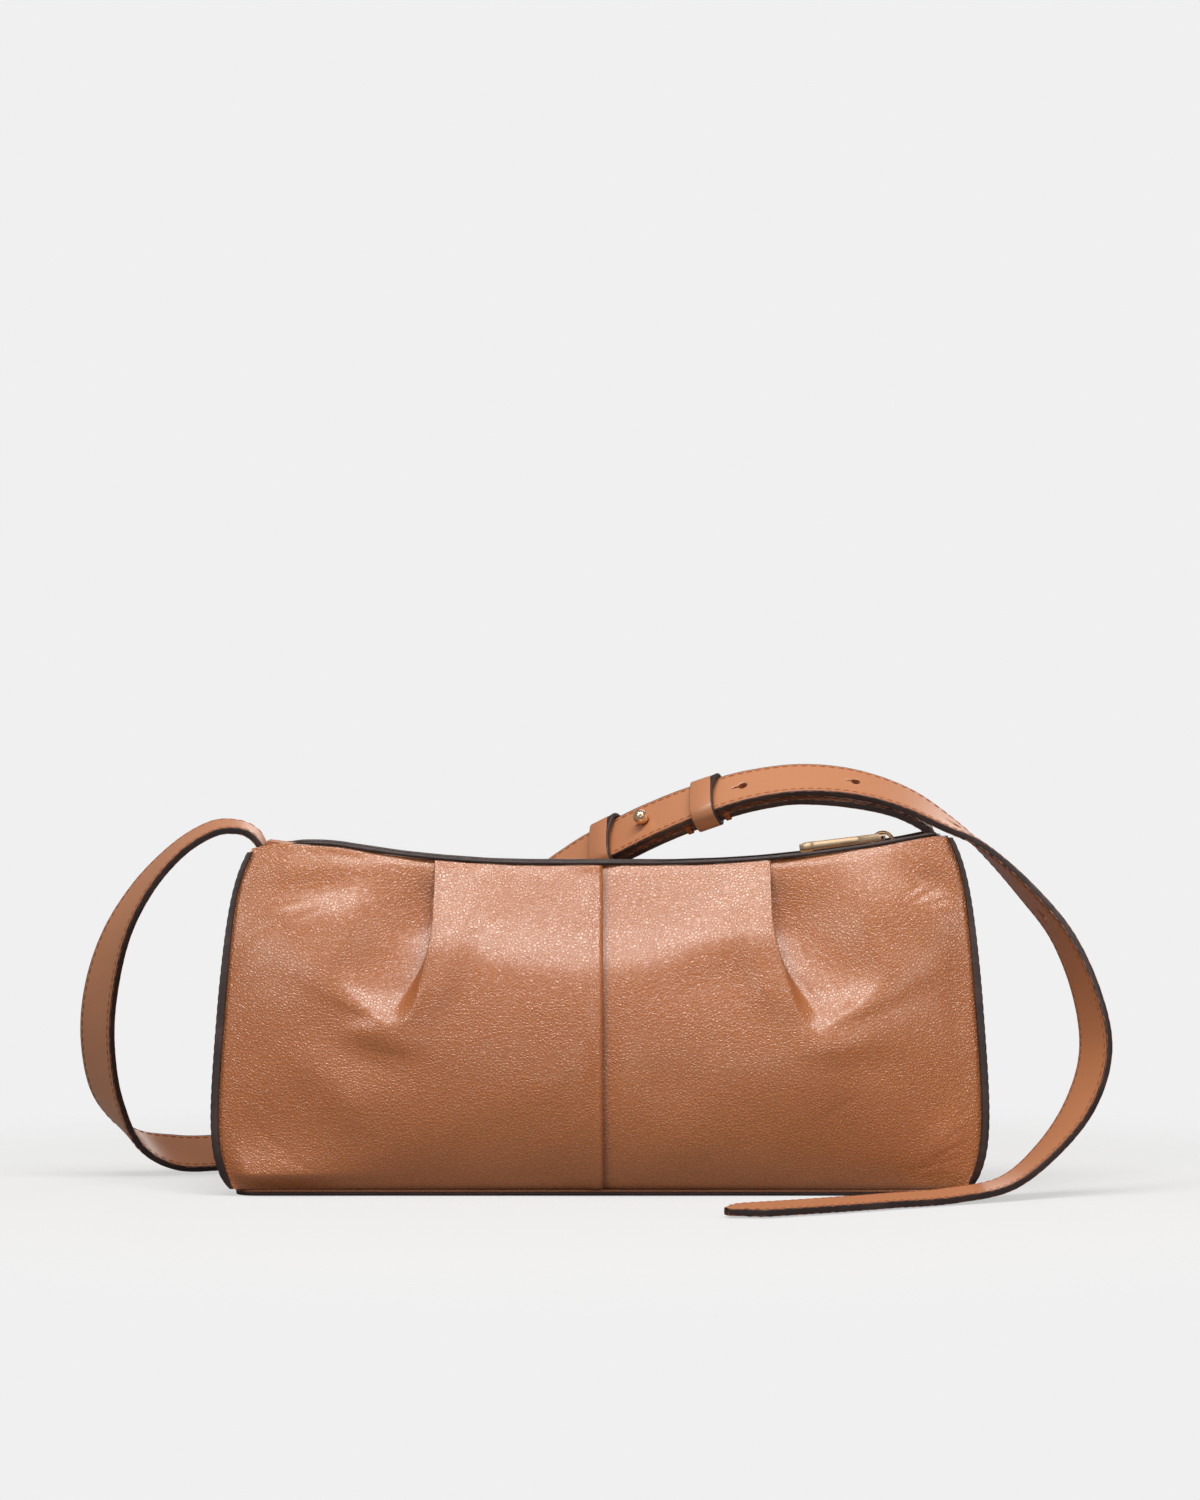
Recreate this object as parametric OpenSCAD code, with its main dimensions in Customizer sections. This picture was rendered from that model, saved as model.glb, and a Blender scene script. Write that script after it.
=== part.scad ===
/* [Bag] */
// Width across the side seams near the base
bag_w = 302; // [280:2:320]
// Depth of the base, front to back
base_d = 84; // [76:1:92]
// Depth of the mouth, front to back, at the middle
mouth_d = 27; // [24:0.5:32]
// Height of the zip track above the table at its lowest point
track_h = 127.4; // [120:0.2:136]
// How far each wall bellies out beyond its side seams
belly = 15; // [8:0.5:18]
// How far each gusset folds inward at its middle
gusset_fold = 7; // [4:0.5:9]
// Leather thickness of the shell
leather_t = 1.8; // [1.2:0.1:2.2]
// Lining thickness
lining_t = 0.8; // [0.5:0.1:1.2]

/* [Strap] */
// Width of both straps
strap_w = 20; // [16:0.5:22]
// Thickness of both straps
strap_t = 3; // [2.4:0.1:3.2]
// Distance between the middles of the two straps where they are buttoned together
stack_pitch = 3.9; // [3.9:0.1:4.4]
// Length of each keeper along the strap
keeper_len = 10; // [8:0.5:12]
// Wall thickness of the keepers
keeper_t = 1.7; // [1.2:0.1:2]

/* [Zip] */
// Radius of the sagging curve that the zip track follows
track_r = 850; // [700:10:1000]
// Length of one zip tape from stop to stop
chain_len = 216; // [200:2:220]
// Distance from tooth to tooth
tooth_pitch = 3.2; // [2.8:0.1:4]
// Length of the pull bar
pull_len = 33; // [24:1:34]

/* [Hidden] */

tan_leather = "peru";
dark_edge = [0.2, 0.13, 0.12];
gold = "gold";
cloth = "wheat";

// Heights: the wall's lower edge stands on the base welt, its upper edge carries the mouth binding.
welt_r = 1.3;
wall_z0 = 2 * welt_r + 0.1;
binding_w = 1.45;
binding_h = 0.8;
rim_drop = 2 * binding_h + 0.1;
seam_out = 2.4;
seam_s = 3;
board_t = 1.8;
base_t = 1.6;
fit_gap = 0.2;
lining_gap = 0.7;
half_w = bag_w / 2;
half_d = base_d / 2;
half_mouth = mouth_d / 2;
strap_half = strap_w / 2;
end_half = strap_half + leather_t + 0.4;
track_x = 4;
track_zc = track_h + track_r;

// Wall grids: steps along and up each wall.
wall_nu = 12;
wall_nv = 14;
side_nq = 6;
lining_nu = 2 * wall_nu - 2;
lining_s = 1 - 1 / wall_nu;
end_lining_nv = wall_nv - 1;

// ---- shape of the bag ----

// Height of the mouth's rim over x: level in the middle, rising to both ends, dipping at the corners.
function rise(x, k, flat) = k * pow(max(0, abs(x) - flat), 2);
function rim_z(x) = track_h + 1.5 + (x < 0
    ? rise(x, 0.0011, 22) - rise(x, 0.0065, 99)
    : rise(x, 0.00098, 22) - rise(x, 0.02, 127));

// Half width at the side seams, v from 0 at the base to 1 at the rim.
function seam_x(v) = half_w - 8 * v - 6 * pow(v, 12) - 9 * pow(1 - v, 10);

// Half depth at the side seams.
function seam_y(v) = end_half + (half_d - end_half) * (1 - pow(v, 1.6));

// Belly of a wall over v, 0 at both edges and 1 at its fullest.
function fullness(v) = pow(max(0, sin(180 * pow(v, 0.9))), 0.75);

// A pleat is a valley that starts at the rim and fades out half way down the wall.
function pleat(x, v, at) = let (mid = at * (0.46 + 0.09 * (1 - v)) * half_w)
    5 * exp(-pow((x - mid) / 11, 2)) * max(0, sin(180 * min(1, max(0, (v - 0.42) / 0.6))));

// Half depth of a wall at s, from -1 at the left seam to 1 at the right one.
function wall_y(s, v) = let (x = s * seam_x(v))
    seam_y(v) + (half_mouth - end_half) * (1 - pow(abs(s), 6)) * v
    + belly * (1 - pow(abs(s), 2.6)) * fullness(v)
    - pleat(x, v, -1) - pleat(x, v, 1);

function wall_z(x, v) = wall_z0 + v * (rim_z(x) - rim_drop - wall_z0);

// A point of a wall, depth mm inside its outer face; side is -1 in front and 1 behind.
function wall_pt(s, v, side, depth) = let (x = s * seam_x(v))
    [x, side * (wall_y(s, v) - depth), wall_z(x, v)];

// A point of a gusset: q runs from -1 at the front seam to 1 at the back one.
function gusset_pt(q, v, side, depth, inset) = let (
    y = q * (seam_y(v) - inset),
    x = seam_x(v) - gusset_fold * (1 - pow(y / seam_y(v), 2)) * sin(180 * v) - depth)
    [side * x, y, wall_z(side * seam_x(v), v)];

// ---- closed solids from point grids ----

function grid(nu, nv, u0, u1, v0, v1) =
    [for (i = [0:nu], j = [0:nv]) [u0 + (u1 - u0) * i / nu, v0 + (v1 - v0) * j / nv]];

function edge_loop(nu, nv) = concat(
    [for (i = [0:nu]) i * (nv + 1)],
    [for (j = [1:nv]) nu * (nv + 1) + j],
    [for (i = [nu - 1:-1:0]) i * (nv + 1) + nv],
    [for (j = [nv - 1:-1:1]) j]);

function turned(faces, flip) = flip ? [for (f = faces) [f[0], f[2], f[1]]] : faces;

// A sheet with thickness: outer and inner are grids of the same size.
module sheet(outer, inner, nu, nv, flip) {
    n = len(outer);
    ring = edge_loop(nu, nv);
    m = len(ring);
    faces = concat(
        [for (i = [0:nu - 1], j = [0:nv - 1]) let (a = i * (nv + 1) + j, d = a + nv + 1)
            each [[a, a + 1, d + 1], [a, d + 1, d]]],
        [for (i = [0:nu - 1], j = [0:nv - 1]) let (a = n + i * (nv + 1) + j, d = a + nv + 1)
            each [[a, d + 1, a + 1], [a, d, d + 1]]],
        [for (k = [0:m - 1]) let (a = ring[k], b = ring[(k + 1) % m])
            each [[a, b, b + n], [a, b + n, a + n]]]);
    polyhedron(points = concat(outer, inner), faces = turned(faces, flip));
}

// A bar through rings of m points each, closed at both ends.
module sweep(rings) {
    m = len(rings[0]);
    last = (len(rings) - 1) * m;
    faces = concat(
        [for (k = [0:len(rings) - 2], i = [0:m - 1])
            let (a = k * m + i, b = k * m + (i + 1) % m)
            each [[a, a + m, b + m], [a, b + m, b]]],
        [for (i = [1:m - 2]) [0, i, i + 1]],
        [for (i = [1:m - 2]) [last, last + i + 1, last + i]]);
    polyhedron(points = [for (r = rings) each r], faces = faces);
}

// ---- walls, gussets and linings ----

module wall(side, s0, s1, nu, nv, depth, thick, v0 = 0, v1 = 1) {
    uv = grid(nu, nv, s0, s1, v0, v1);
    sheet([for (p = uv) wall_pt(p[0], p[1], side, depth)],
          [for (p = uv) wall_pt(p[0], p[1], side, depth + thick)],
          nu, nv, side > 0);
}

module gusset(side, nq, nv, depth, thick, inset, v1 = 1) {
    uv = grid(nq, nv, -1, 1, 0, v1);
    sheet([for (p = uv) gusset_pt(p[0], p[1], side, depth, inset)],
          [for (p = uv) gusset_pt(p[0], p[1], side, depth + thick, inset)],
          nq, nv, side < 0);
}

module outer_wall(side, s0, s1) {
    color(tan_leather) wall(side, s0, s1, wall_nu, wall_nv, 0, leather_t);
}

module front_panel_left() { outer_wall(-1, -1, 0); }
module front_panel_right() { outer_wall(-1, 0, 1); }
module back_panel_left() { outer_wall(1, -1, 0); }
module back_panel_right() { outer_wall(1, 0, 1); }

module outer_gusset(side) {
    color(tan_leather) gusset(side, side_nq, wall_nv, 0, leather_t, leather_t);
}
module gusset_left() { outer_gusset(-1); }
module gusset_right() { outer_gusset(1); }

lining_depth = leather_t + lining_gap;
module wall_lining(side) {
    color(cloth) wall(side, -lining_s, lining_s, lining_nu, wall_nv, lining_depth, lining_t);
}
module lining_front() { wall_lining(-1); }
module lining_back() { wall_lining(1); }

module gusset_lining(side) {
    color(cloth) gusset(side, side_nq, end_lining_nv, lining_depth, lining_t,
                        lining_depth + lining_t + lining_gap, end_lining_nv / wall_nv);
}
module lining_left() { gusset_lining(-1); }
module lining_right() { gusset_lining(1); }

module slip_pocket() {
    color(cloth) wall(1, -0.42, 0.42, 12, 8, lining_depth + lining_t + lining_gap, lining_t,
                      0.28, 0.78);
}

// ---- base ----

base_x = seam_x(0);
module plate(w, d, r, z, t) {
    translate([0, 0, z]) linear_extrude(t) union() {
        square([w - 2 * r, d], center = true);
        square([w, d - 2 * r], center = true);
        for (x = [-1, 1], y = [-1, 1]) translate([x * (w / 2 - r), y * (d / 2 - r)]) circle(r, $fn = 32);
    }
}

module base_panel() {
    color(tan_leather) plate(2 * (base_x - welt_r) - 3.2, base_d - 2 * welt_r - 2, 6, 0, base_t);
}

module base_board() {
    color("burlywood") plate(2 * base_x - 9, base_d - 8.4, 5, base_t + 0.1, board_t);
}

module lining_base() {
    color(cloth) plate(2 * base_x - 10, base_d - 9, 5, base_t + board_t + 0.3, lining_t);
}

// A round cord sewn round the edge of the base.
module base_welt() {
    r = 8;
    w = base_x - leather_t / 2 - r;
    d = half_d - leather_t / 2 - r;
    color(tan_leather) translate([0, 0, welt_r]) union() {
        for (y = [-1, 1]) translate([-w, y * (d + r), 0]) rotate([0, 90, 0])
            cylinder(r = welt_r, h = 2 * w, $fn = 24);
        for (x = [-1, 1]) translate([x * (w + r), d, 0]) rotate([90, 0, 0])
            cylinder(r = welt_r, h = 2 * d, $fn = 24);
        for (c = [[1, 1, 0], [-1, 1, 90], [-1, -1, 180], [1, -1, 270]])
            translate([c[0] * w, c[1] * d, 0]) rotate([0, 0, c[2]])
                rotate_extrude(angle = 90, $fn = 48) translate([r, 0]) circle(welt_r, $fn = 24);
    }
}

// ---- dark edges ----

// The binding along the rim is a flat eight-sided bar that follows the rim's curve.
module mouth_binding(side) {
    n = 30;
    x0 = -126;
    x1 = 133;
    color(dark_edge) sweep([for (i = [0:n]) let (
        x = x0 + (x1 - x0) * i / n,
        s = x / seam_x(1),
        y = side * (wall_y(s, 1) - leather_t / 2),
        z = rim_z(x) - binding_h)
        [for (k = [0:7]) [x, y + binding_w * cos(45 * k + 22.5), z + binding_h * sin(45 * k + 22.5)]]]);
}
module mouth_binding_front() { mouth_binding(-1); }
module mouth_binding_back() { mouth_binding(1); }

// A side seam is the painted edge where wall and gusset are sewn together, standing proud.
module side_seam(sx, sy) {
    n = 18;
    v0 = 0.03;
    rings = [for (i = [0:n]) let (
        v = v0 + (1 - v0) * i / n,
        x = sx * seam_x(v),
        y = seam_y(v) + fit_gap,
        z = wall_z(x, v))
        [for (c = [[0.6, 0], [seam_out * -1, 0], [seam_out * -1, seam_s], [0.6, seam_s]])
            [x - sx * c[0], sy * (y + c[1]), z]]];
    color(dark_edge) sweep(sx * sy > 0 ? rings : [for (r = rings) [r[3], r[2], r[1], r[0]]]);
}
module side_seam_front_left() { side_seam(-1, -1); }
module side_seam_front_right() { side_seam(1, -1); }
module side_seam_back_left() { side_seam(-1, 1); }
module side_seam_back_right() { side_seam(1, 1); }

// ---- zip: everything on the track is turned about the track's far centre ----

module on_track(x) {
    translate([track_x, 0, track_zc]) rotate([0, -asin((x - track_x) / track_r), 0])
        translate([0, 0, -track_r]) children();
}

// A bar of rectangular section along the track, from x0 to x1, y0 to y1, z0 to z1 above the track.
module track_bar(x0, x1, y0, y1, z0, z1) {
    a0 = asin((x0 - track_x) / track_r);
    a1 = asin((x1 - track_x) / track_r);
    translate([track_x, 0, track_zc]) rotate([90, 0, 0]) rotate([0, 0, -90 + a0])
        rotate_extrude(angle = a1 - a0, $fn = 720)
            translate([track_r - z1, -y1]) square([z1 - z0, y1 - y0]);
}

chain_x1 = 113;
chain_x0 = chain_x1 - chain_len;
chain_gap = 0.7;
tooth_in = 2.2;
tape_out = 9.5;
tape_z = -1.2;
tape_t = 0.6;

module zip_tape(side) {
    y = side > 0 ? [tooth_in, tape_out] : [-tape_out, -tooth_in];
    color("tan") track_bar(chain_x0 - 6, chain_x1 + 6, y[0], y[1], tape_z, tape_z + tape_t);
}
module zip_tape_front() { zip_tape(-1); }
module zip_tape_back() { zip_tape(1); }

module zip_teeth(side) {
    count = floor(chain_len / tooth_pitch);
    shift = side > 0 ? tooth_pitch / 2 : 0;
    color(gold) for (i = [0:count - 1]) on_track(chain_x0 + i * tooth_pitch + shift)
        translate([-0.7, side > 0 ? chain_gap : -tooth_in, -1.9]) cube([1.4, tooth_in - chain_gap, 1.9]);
}
module zip_teeth_front() { zip_teeth(-1); }
module zip_teeth_back() { zip_teeth(1); }

// Each end stop is a clip on both tapes, above the teeth's end.
module zip_stop(x) {
    color(gold) on_track(x) translate([-1.2, -tooth_in - 0.8, tape_z + tape_t])
        cube([2.4, 2 * tooth_in + 1.6, 1.2]);
}
module zip_stop_open() { zip_stop(chain_x0 - 3); }
module zip_stop_closed() { zip_stop(chain_x1 + 9.2); }

module zip_tab(x0, x1) {
    color(tan_leather) track_bar(x0, x1, -9, 9, tape_z - 1.9, tape_z - 0.1);
}
module zip_tab_left() { zip_tab(-129, chain_x0 - 2); }
module zip_tab_right() { zip_tab(chain_x1 + 6, 129); }

slider_x = 112.3;
slider_len = 10;
slider_w = 8;
bail_r = 4.1;
wire_r = 0.75;
plate_top = 1.5;
pull_axis_z = plate_top + 2.1;
pull_bar_r = 0.8;

// Two plates held by a thin post that runs in the gap between the rows of teeth, and an arched bail.
module zip_slider() {
    color(gold) on_track(slider_x) union() {
        translate([-slider_len / 2, -slider_w / 2, 0.3]) cube([slider_len, slider_w, plate_top - 0.3]);
        for (y = [-1, 1]) translate([-slider_len / 2, y > 0 ? 2.9 : -slider_w / 2, -0.3])
            cube([slider_len, slider_w / 2 - 2.9, 0.8]);
        translate([-slider_len / 2, -slider_w / 2, -3.3]) cube([slider_len, slider_w, 1]);
        translate([slider_len / 2 - 3, -0.4, -3]) cube([2.5, 0.8, 4]);
        translate([0, 0, plate_top - 0.1]) rotate([90, 0, 0])
            rotate_extrude(angle = 180, $fn = 48) translate([bail_r, 0]) circle(wire_r, $fn = 20);
    }
}

// A faceted bar with a fork at one end; the fork's cross pin lies under the bail.
module zip_pull() {
    half_y = 2.3;
    fork_y = 1.15;
    fork_len = 8;
    body_x = -pull_len;
    color(gold) on_track(slider_x) translate([0, 0, pull_axis_z]) union() {
        difference() {
            rotate([90, 0, 0]) linear_extrude(2 * half_y, center = true)
                polygon([[body_x, -1.7], [body_x + 5, -1.9], [1.2, -1.1], [1.2, 1.1], [-2, 1.7],
                         [body_x + 1.5, 1.9], [body_x, 1.2]]);
            translate([-fork_len, -fork_y, -3]) cube([fork_len + 3, 2 * fork_y, 6]);
        }
        rotate([90, 0, 0]) cylinder(r = pull_bar_r, h = 2 * half_y, center = true, $fn = 24);
    }
}

// ---- straps ----

// Middle line of the long strap: out of the left end, round the left loop, behind the bag, over the
// mouth, down the right loop and along the table to its pointed tail.
long_route = [
    [-133, 0, 124], [-133, 0, 132], [-137, 0, 139], [-144, 0, 142], [-154, 0, 141],
    [-167, 0, 133], [-181, 2, 118], [-192, 5, 99], [-199, 11, 76], [-201, 18, 54],
    [-198, 28, 32], [-188, 38, 15], [-172, 46, 8.4], [-151, 53, 8], [-124, 62, 8.5],
    [-99, 65, 14], [-80, 66, 28], [-67, 64, 48], [-56, 59, 72], [-44, 50, 95],
    [-28, 43, 114], [-10, 34, 127.5], [6, 25, 136.5], [22, 16, 144.5], [39, 8, 151.5],
    [58, 3, 157.5], [79, 0, 160.5], [100, -2, 159], [120, -3, 153], [137, -4, 143.5],
    [151, -6, 134], [167, -11, 118], [181, -18, 100], [190, -26, 78], [193, -33, 56],
    [187, -38, 36], [174, -43, 18.5], [157, -52, 6.2], [134, -66, 2.7], [107, -83.5, 2.4],
    [80, -101, 2.4], [47, -119.5, 2.4]];

// Direction of its width at each of those points, before it is squared to the route.
long_lean = [
    [0, 1, 0], [0, 1, 0], [0, 1, 0.1], [-0.12, 1, 0.15], [-0.18, 1, 0.16],
    [-0.26, 1, 0.13], [-0.4, 0.9, 0.05], [-0.54, 0.85, 0], [-0.64, 0.77, 0], [-0.64, 0.77, -0.06],
    [-0.52, 0.84, -0.08], [-0.22, 0.93, 0.2], [0, 0.84, 0.52], [0, 0.84, 0.54], [0, 0.88, 0.47],
    [0, 0.95, 0.3], [0, 1, 0.1], [0, 1, 0], [-0.1, 1, 0.05], [-0.25, 0.95, 0.15],
    [-0.4, 0.88, 0.25], [-0.42, 0.85, 0.32], [-0.4, 0.83, 0.38], [-0.36, 0.83, 0.42], [-0.33, 0.83, 0.44],
    [-0.22, 0.84, 0.5], [-0.04, 0.85, 0.53], [0.1, 0.87, 0.48], [0.24, 0.91, 0.34], [0.2, 0.97, 0.15],
    [0.06, 0.99, -0.1], [-0.11, 0.97, -0.2], [-0.26, 0.96, -0.1], [-0.36, 0.93, -0.05], [-0.45, 0.89, -0.03],
    [-0.42, 0.9, 0.03], [-0.28, 0.96, 0.03], [-0.1, 0.99, 0.04], [0, 1, 0.05], [0.05, 1, 0.03],
    [0.08, 1, 0.03], [0.12, 1, 0.03]];

// Smooth curve through a list of points; t counts them.
function spline(p, t) = let (
    n = len(p) - 1,
    i = min(floor(t), n - 1),
    u = t - i,
    b = p[i],
    c = p[i + 1],
    a = i > 0 ? p[i - 1] : 2 * b - c,
    d = i + 2 <= n ? p[i + 2] : 2 * c - b)
    0.5 * (2 * b + (c - a) * u + (2 * a - 5 * b + 4 * c - d) * u * u
           + (3 * b - a - 3 * c + d) * u * u * u);

function unit(v) = v / norm(v);
function along(p, t) = let (n = len(p) - 1) unit(spline(p, min(n, t + 0.05)) - spline(p, max(0, t - 0.05)));

// Frame of a strap at t: its middle, its direction, its width and its upper face.
function frame(route, lean, t) = let (
    dir = along(route, t),
    w = spline(lean, t),
    wide = unit(w - (w * dir) * dir))
    [spline(route, t), dir, wide, cross(dir, wide)];

// Rectangular ring of a strap.
function strap_ring(f, half, thick) =
    [for (c = [[1, 1], [-1, 1], [-1, -1], [1, -1]]) f[0] + c[0] * half * f[2] + c[1] * thick / 2 * f[3]];

module place(f) {
    multmatrix([for (r = [0:2]) [f[1][r], f[2][r], f[3][r], f[0][r]]]) children();
}

stud_at = 22.8;
fixed_at = 24.15;
sliding_at = 21.75;
keyholes = [stud_at, 24.95, 27.05, 29.25, 31.6];
stud_r = 1.3;
hole_r = 1.8;
slit_len = 5;

function long_frame(t) = frame(long_route, long_lean, t);
// The short strap lies under the long one, one pitch below it.
function under(t) = let (f = long_frame(t)) [f[0] - stack_pitch * f[3], f[1], f[2], f[3]];

module long_strap() {
    steps = 2;
    last = len(long_route) - 1;
    tip = 0.35;
    color(tan_leather) difference() {
        sweep(concat(
            [for (i = [0:last * steps - 1]) strap_ring(long_frame(i / steps), strap_half, strap_t)],
            [strap_ring(long_frame(last - tip), strap_half, strap_t)],
            [strap_ring(long_frame(last), 1.5, strap_t)]));
        for (t = keyholes) place(long_frame(t)) {
            cylinder(r = hole_r, h = 3 * strap_t, center = true, $fn = 24);
            translate([-slit_len, -0.4, -2 * strap_t]) cube([slit_len, 0.8, 4 * strap_t]);
        }
    }
}

// Free part of the short strap, from the right end up to where it meets the long one.
short_free = [[132.6, 0, 128], [132.6, 0, 136], [128.5, 0, 142.5], [116, 0, 149.6], [98, 0, 154.4]];
short_free_lean = [[0, 1, 0], [0, 1, 0.05], [0.05, 0.99, 0.1], [0.1, 0.97, 0.2], [0.05, 0.93, 0.35]];
buttoned = [26, 25.4, 24.8, 24.2, 23.6, 23, 22.4, 21.8, 21.4];
short_route = concat(short_free, [for (t = buttoned) under(t)[0]]);
short_lean = concat(short_free_lean, [for (t = buttoned) under(t)[2]]);

module short_strap() {
    steps = 2;
    last = len(short_route) - 1;
    color(tan_leather) difference() {
        sweep(concat(
            [for (i = [0:last * steps - 1]) strap_ring(frame(short_route, short_lean, i / steps), strap_half, strap_t)],
            [strap_ring(frame(short_route, short_lean, last), strap_half - 4, strap_t)]));
        place(under(stud_at)) cylinder(r = 1.3, h = 3 * strap_t, center = true, $fn = 24);
    }
}

// A keeper is a flat leather loop round both straps; play is its clearance all round.
module keeper(t, play) {
    inner_w = strap_w + 2 * play;
    inner_h = strap_t + stack_pitch + 2 * play;
    color(tan_leather) place(long_frame(t)) translate([0, 0, -stack_pitch / 2]) difference() {
        cube([keeper_len, inner_w + 2 * keeper_t, inner_h + 2 * keeper_t], center = true);
        cube([keeper_len + 2, inner_w, inner_h], center = true);
    }
}
module keeper_fixed() { keeper(fixed_at, 0.35); }
module keeper_sliding() { keeper(sliding_at, 0.8); }

// Thread wraps on the short strap, one on each side of the fixed keeper.
module keeper_tacks() {
    color("orange") for (t = [fixed_at - 0.42, fixed_at + 0.4]) place(under(t)) difference() {
        cube([1.4, strap_w + 1.2, strap_t + 1.1], center = true);
        cube([3, strap_w + 0.6, strap_t + 0.5], center = true);
    }
}

stud_flange_r = 3.4;
stud_ball_r = 2.9;
ball_z = strap_t / 2 + 3;
flange_drop = 0.05;
flange_z = -strap_t / 2 - (stack_pitch - strap_t) + flange_drop;
screw_r = 1;

// The stud's flange lies between the straps, its neck fills the long strap's keyhole.
module stud_head() {
    color(gold) place(long_frame(stud_at)) difference() {
        union() {
            translate([0, 0, flange_z]) cylinder(r = stud_flange_r, h = 0.6, $fn = 40);
            translate([0, 0, flange_z]) cylinder(r = stud_r, h = ball_z - flange_z, $fn = 32);
            translate([0, 0, ball_z]) sphere(stud_ball_r, $fn = 32);
        }
        translate([0, 0, flange_z - 1]) cylinder(r = screw_r + 0.05, h = 3.5, $fn = 24);
    }
}

module stud_screw() {
    color(gold) place(under(stud_at)) union() {
        translate([0, 0, -strap_t / 2 - 1.3]) cylinder(r = 3.3, h = 1.1, $fn = 40);
        translate([0, 0, -strap_t / 2 - 0.5]) cylinder(r = screw_r, h = strap_t + 2.4, $fn = 24);
    }
}

front_panel_left();
front_panel_right();
back_panel_left();
back_panel_right();
gusset_left();
gusset_right();
base_panel();
base_welt();
base_board();
mouth_binding_front();
mouth_binding_back();
side_seam_front_left();
side_seam_front_right();
side_seam_back_left();
side_seam_back_right();
lining_front();
lining_back();
lining_left();
lining_right();
lining_base();
slip_pocket();
zip_tape_front();
zip_tape_back();
zip_teeth_front();
zip_teeth_back();
zip_stop_open();
zip_stop_closed();
zip_tab_left();
zip_tab_right();
zip_slider();
zip_pull();
long_strap();
short_strap();
keeper_fixed();
keeper_sliding();
keeper_tacks();
stud_head();
stud_screw();
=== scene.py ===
import math

import bmesh
import bpy
import numpy as np
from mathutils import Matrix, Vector


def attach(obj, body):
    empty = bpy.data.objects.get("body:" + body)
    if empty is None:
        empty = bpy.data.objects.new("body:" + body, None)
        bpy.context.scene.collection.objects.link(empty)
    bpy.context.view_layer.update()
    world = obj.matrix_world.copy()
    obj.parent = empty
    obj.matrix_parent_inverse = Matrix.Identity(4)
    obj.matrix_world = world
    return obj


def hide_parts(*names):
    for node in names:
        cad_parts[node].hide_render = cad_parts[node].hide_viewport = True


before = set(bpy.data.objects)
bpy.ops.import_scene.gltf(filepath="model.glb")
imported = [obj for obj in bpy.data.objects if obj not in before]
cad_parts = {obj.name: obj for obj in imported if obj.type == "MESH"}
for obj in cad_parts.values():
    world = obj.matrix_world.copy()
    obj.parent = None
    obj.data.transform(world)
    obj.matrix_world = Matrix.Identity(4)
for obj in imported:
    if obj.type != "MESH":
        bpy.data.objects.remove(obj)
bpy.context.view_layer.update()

# Shapes are worked out in millimetres and put into the meshes in metres.
MM = 0.001

# ---------------------------------------------------------------- camera, floor and light

CAMERA_HEIGHT = 0.190
CAMERA_DISTANCE = 1.850
CAMERA_PITCH = math.radians(0.543)
LENS = 112.06
PAPER = 0.871
AMBIENT = 0.23
WARM = (1, 0.965, 0.92)

# Each row: name, place, aim, width and height, watts, tint.
SOFTBOXES = (
    ("key", (0.0, -0.48, 1.28), (0, 0, 0.08), (1.3, 0.36), 15.5, (1, 0.98, 0.95)),
    ("left", (-1.3, -1.6, 1.35), (0, 0, 0.08), (0.6, 0.5), 6.5, WARM),
    ("right", (1.4, -1.6, 1.35), (0, 0, 0.08), (0.6, 0.5), 5.0, WARM),
    ("front", (0.2, -2.3, 0.6), (0, 0, 0.1), (0.9, 0.6), 2.4, (1, 0.96, 0.91)),
    ("back", (0.5, 1.9, 1.0), (0, 0, 0.06), (1.2, 0.8), 6.0, WARM))


def add_camera():
    data = bpy.data.cameras.new("studio_camera")
    data.lens = LENS
    data.sensor_width = 36
    data.clip_start = 0.05
    data.clip_end = 60
    camera = bpy.data.objects.new("studio_camera", data)
    camera.location = (0, -CAMERA_DISTANCE, CAMERA_HEIGHT)
    camera.rotation_euler = (math.pi / 2 - CAMERA_PITCH, 0, 0)
    bpy.context.scene.collection.objects.link(camera)
    bpy.context.scene.camera = camera


def add_softbox(name, place, aim, size, power, tint):
    """A rectangular soft light at place, turned so that it looks at aim."""
    data = bpy.data.lights.new(f"{name}_softbox", "AREA")
    data.shape = "RECTANGLE"
    data.size, data.size_y = size
    data.energy = power
    data.color = tint
    lamp = bpy.data.objects.new(data.name, data)
    lamp.location = place
    lamp.rotation_euler = (Vector(aim) - Vector(place)).to_track_quat("-Z", "Y").to_euler()
    bpy.context.scene.collection.objects.link(lamp)


# ---------------------------------------------------------------- numbers shared with the part

HALF_W = 151.0
HALF_D = 42.0
HALF_MOUTH = 13.5
END_HALF = 12.2
TRACK_H = 127.4
BELLY = 15.0
GUSSET_FOLD = 7.0
LEATHER = 1.8
LINING = 0.8
LINING_GAP = 0.7
WALL_Z0 = 2.7
BINDING_HALF_W = 1.45
BINDING_HALF_H = 0.8
RIM_DROP = 1.7
STRAP_HALF = 10.0
STRAP_T = 3.0
STACK = 3.9
TRACK_X = 4.0
TRACK_R = 850.0
TRACK_ZC = TRACK_H + TRACK_R
STUD_AT = 22.8
FIXED_AT = 24.15
SLIDING_AT = 21.75
KEYHOLES = (22.8, 24.95, 27.05, 29.25, 31.6)
CHAIN_X0, CHAIN_X1 = -103.0, 113.0
SLIDER_X = 112.3
PULL_AXIS_Z = 3.6


def smooth(t):
    """0 below 0, 1 above 1, and an even S between them."""
    t = np.clip(t, 0, 1)
    return t * t * (3 - 2 * t)


def bell(t):
    """1 at 0, falling away on both sides as exp(-t squared)."""
    return np.exp(-np.square(t))


def run_length(line):
    """Distance along a line of points, 0 at the first."""
    return np.concatenate([[0], np.cumsum(np.linalg.norm(np.diff(line, axis=0), axis=1))])


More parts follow.
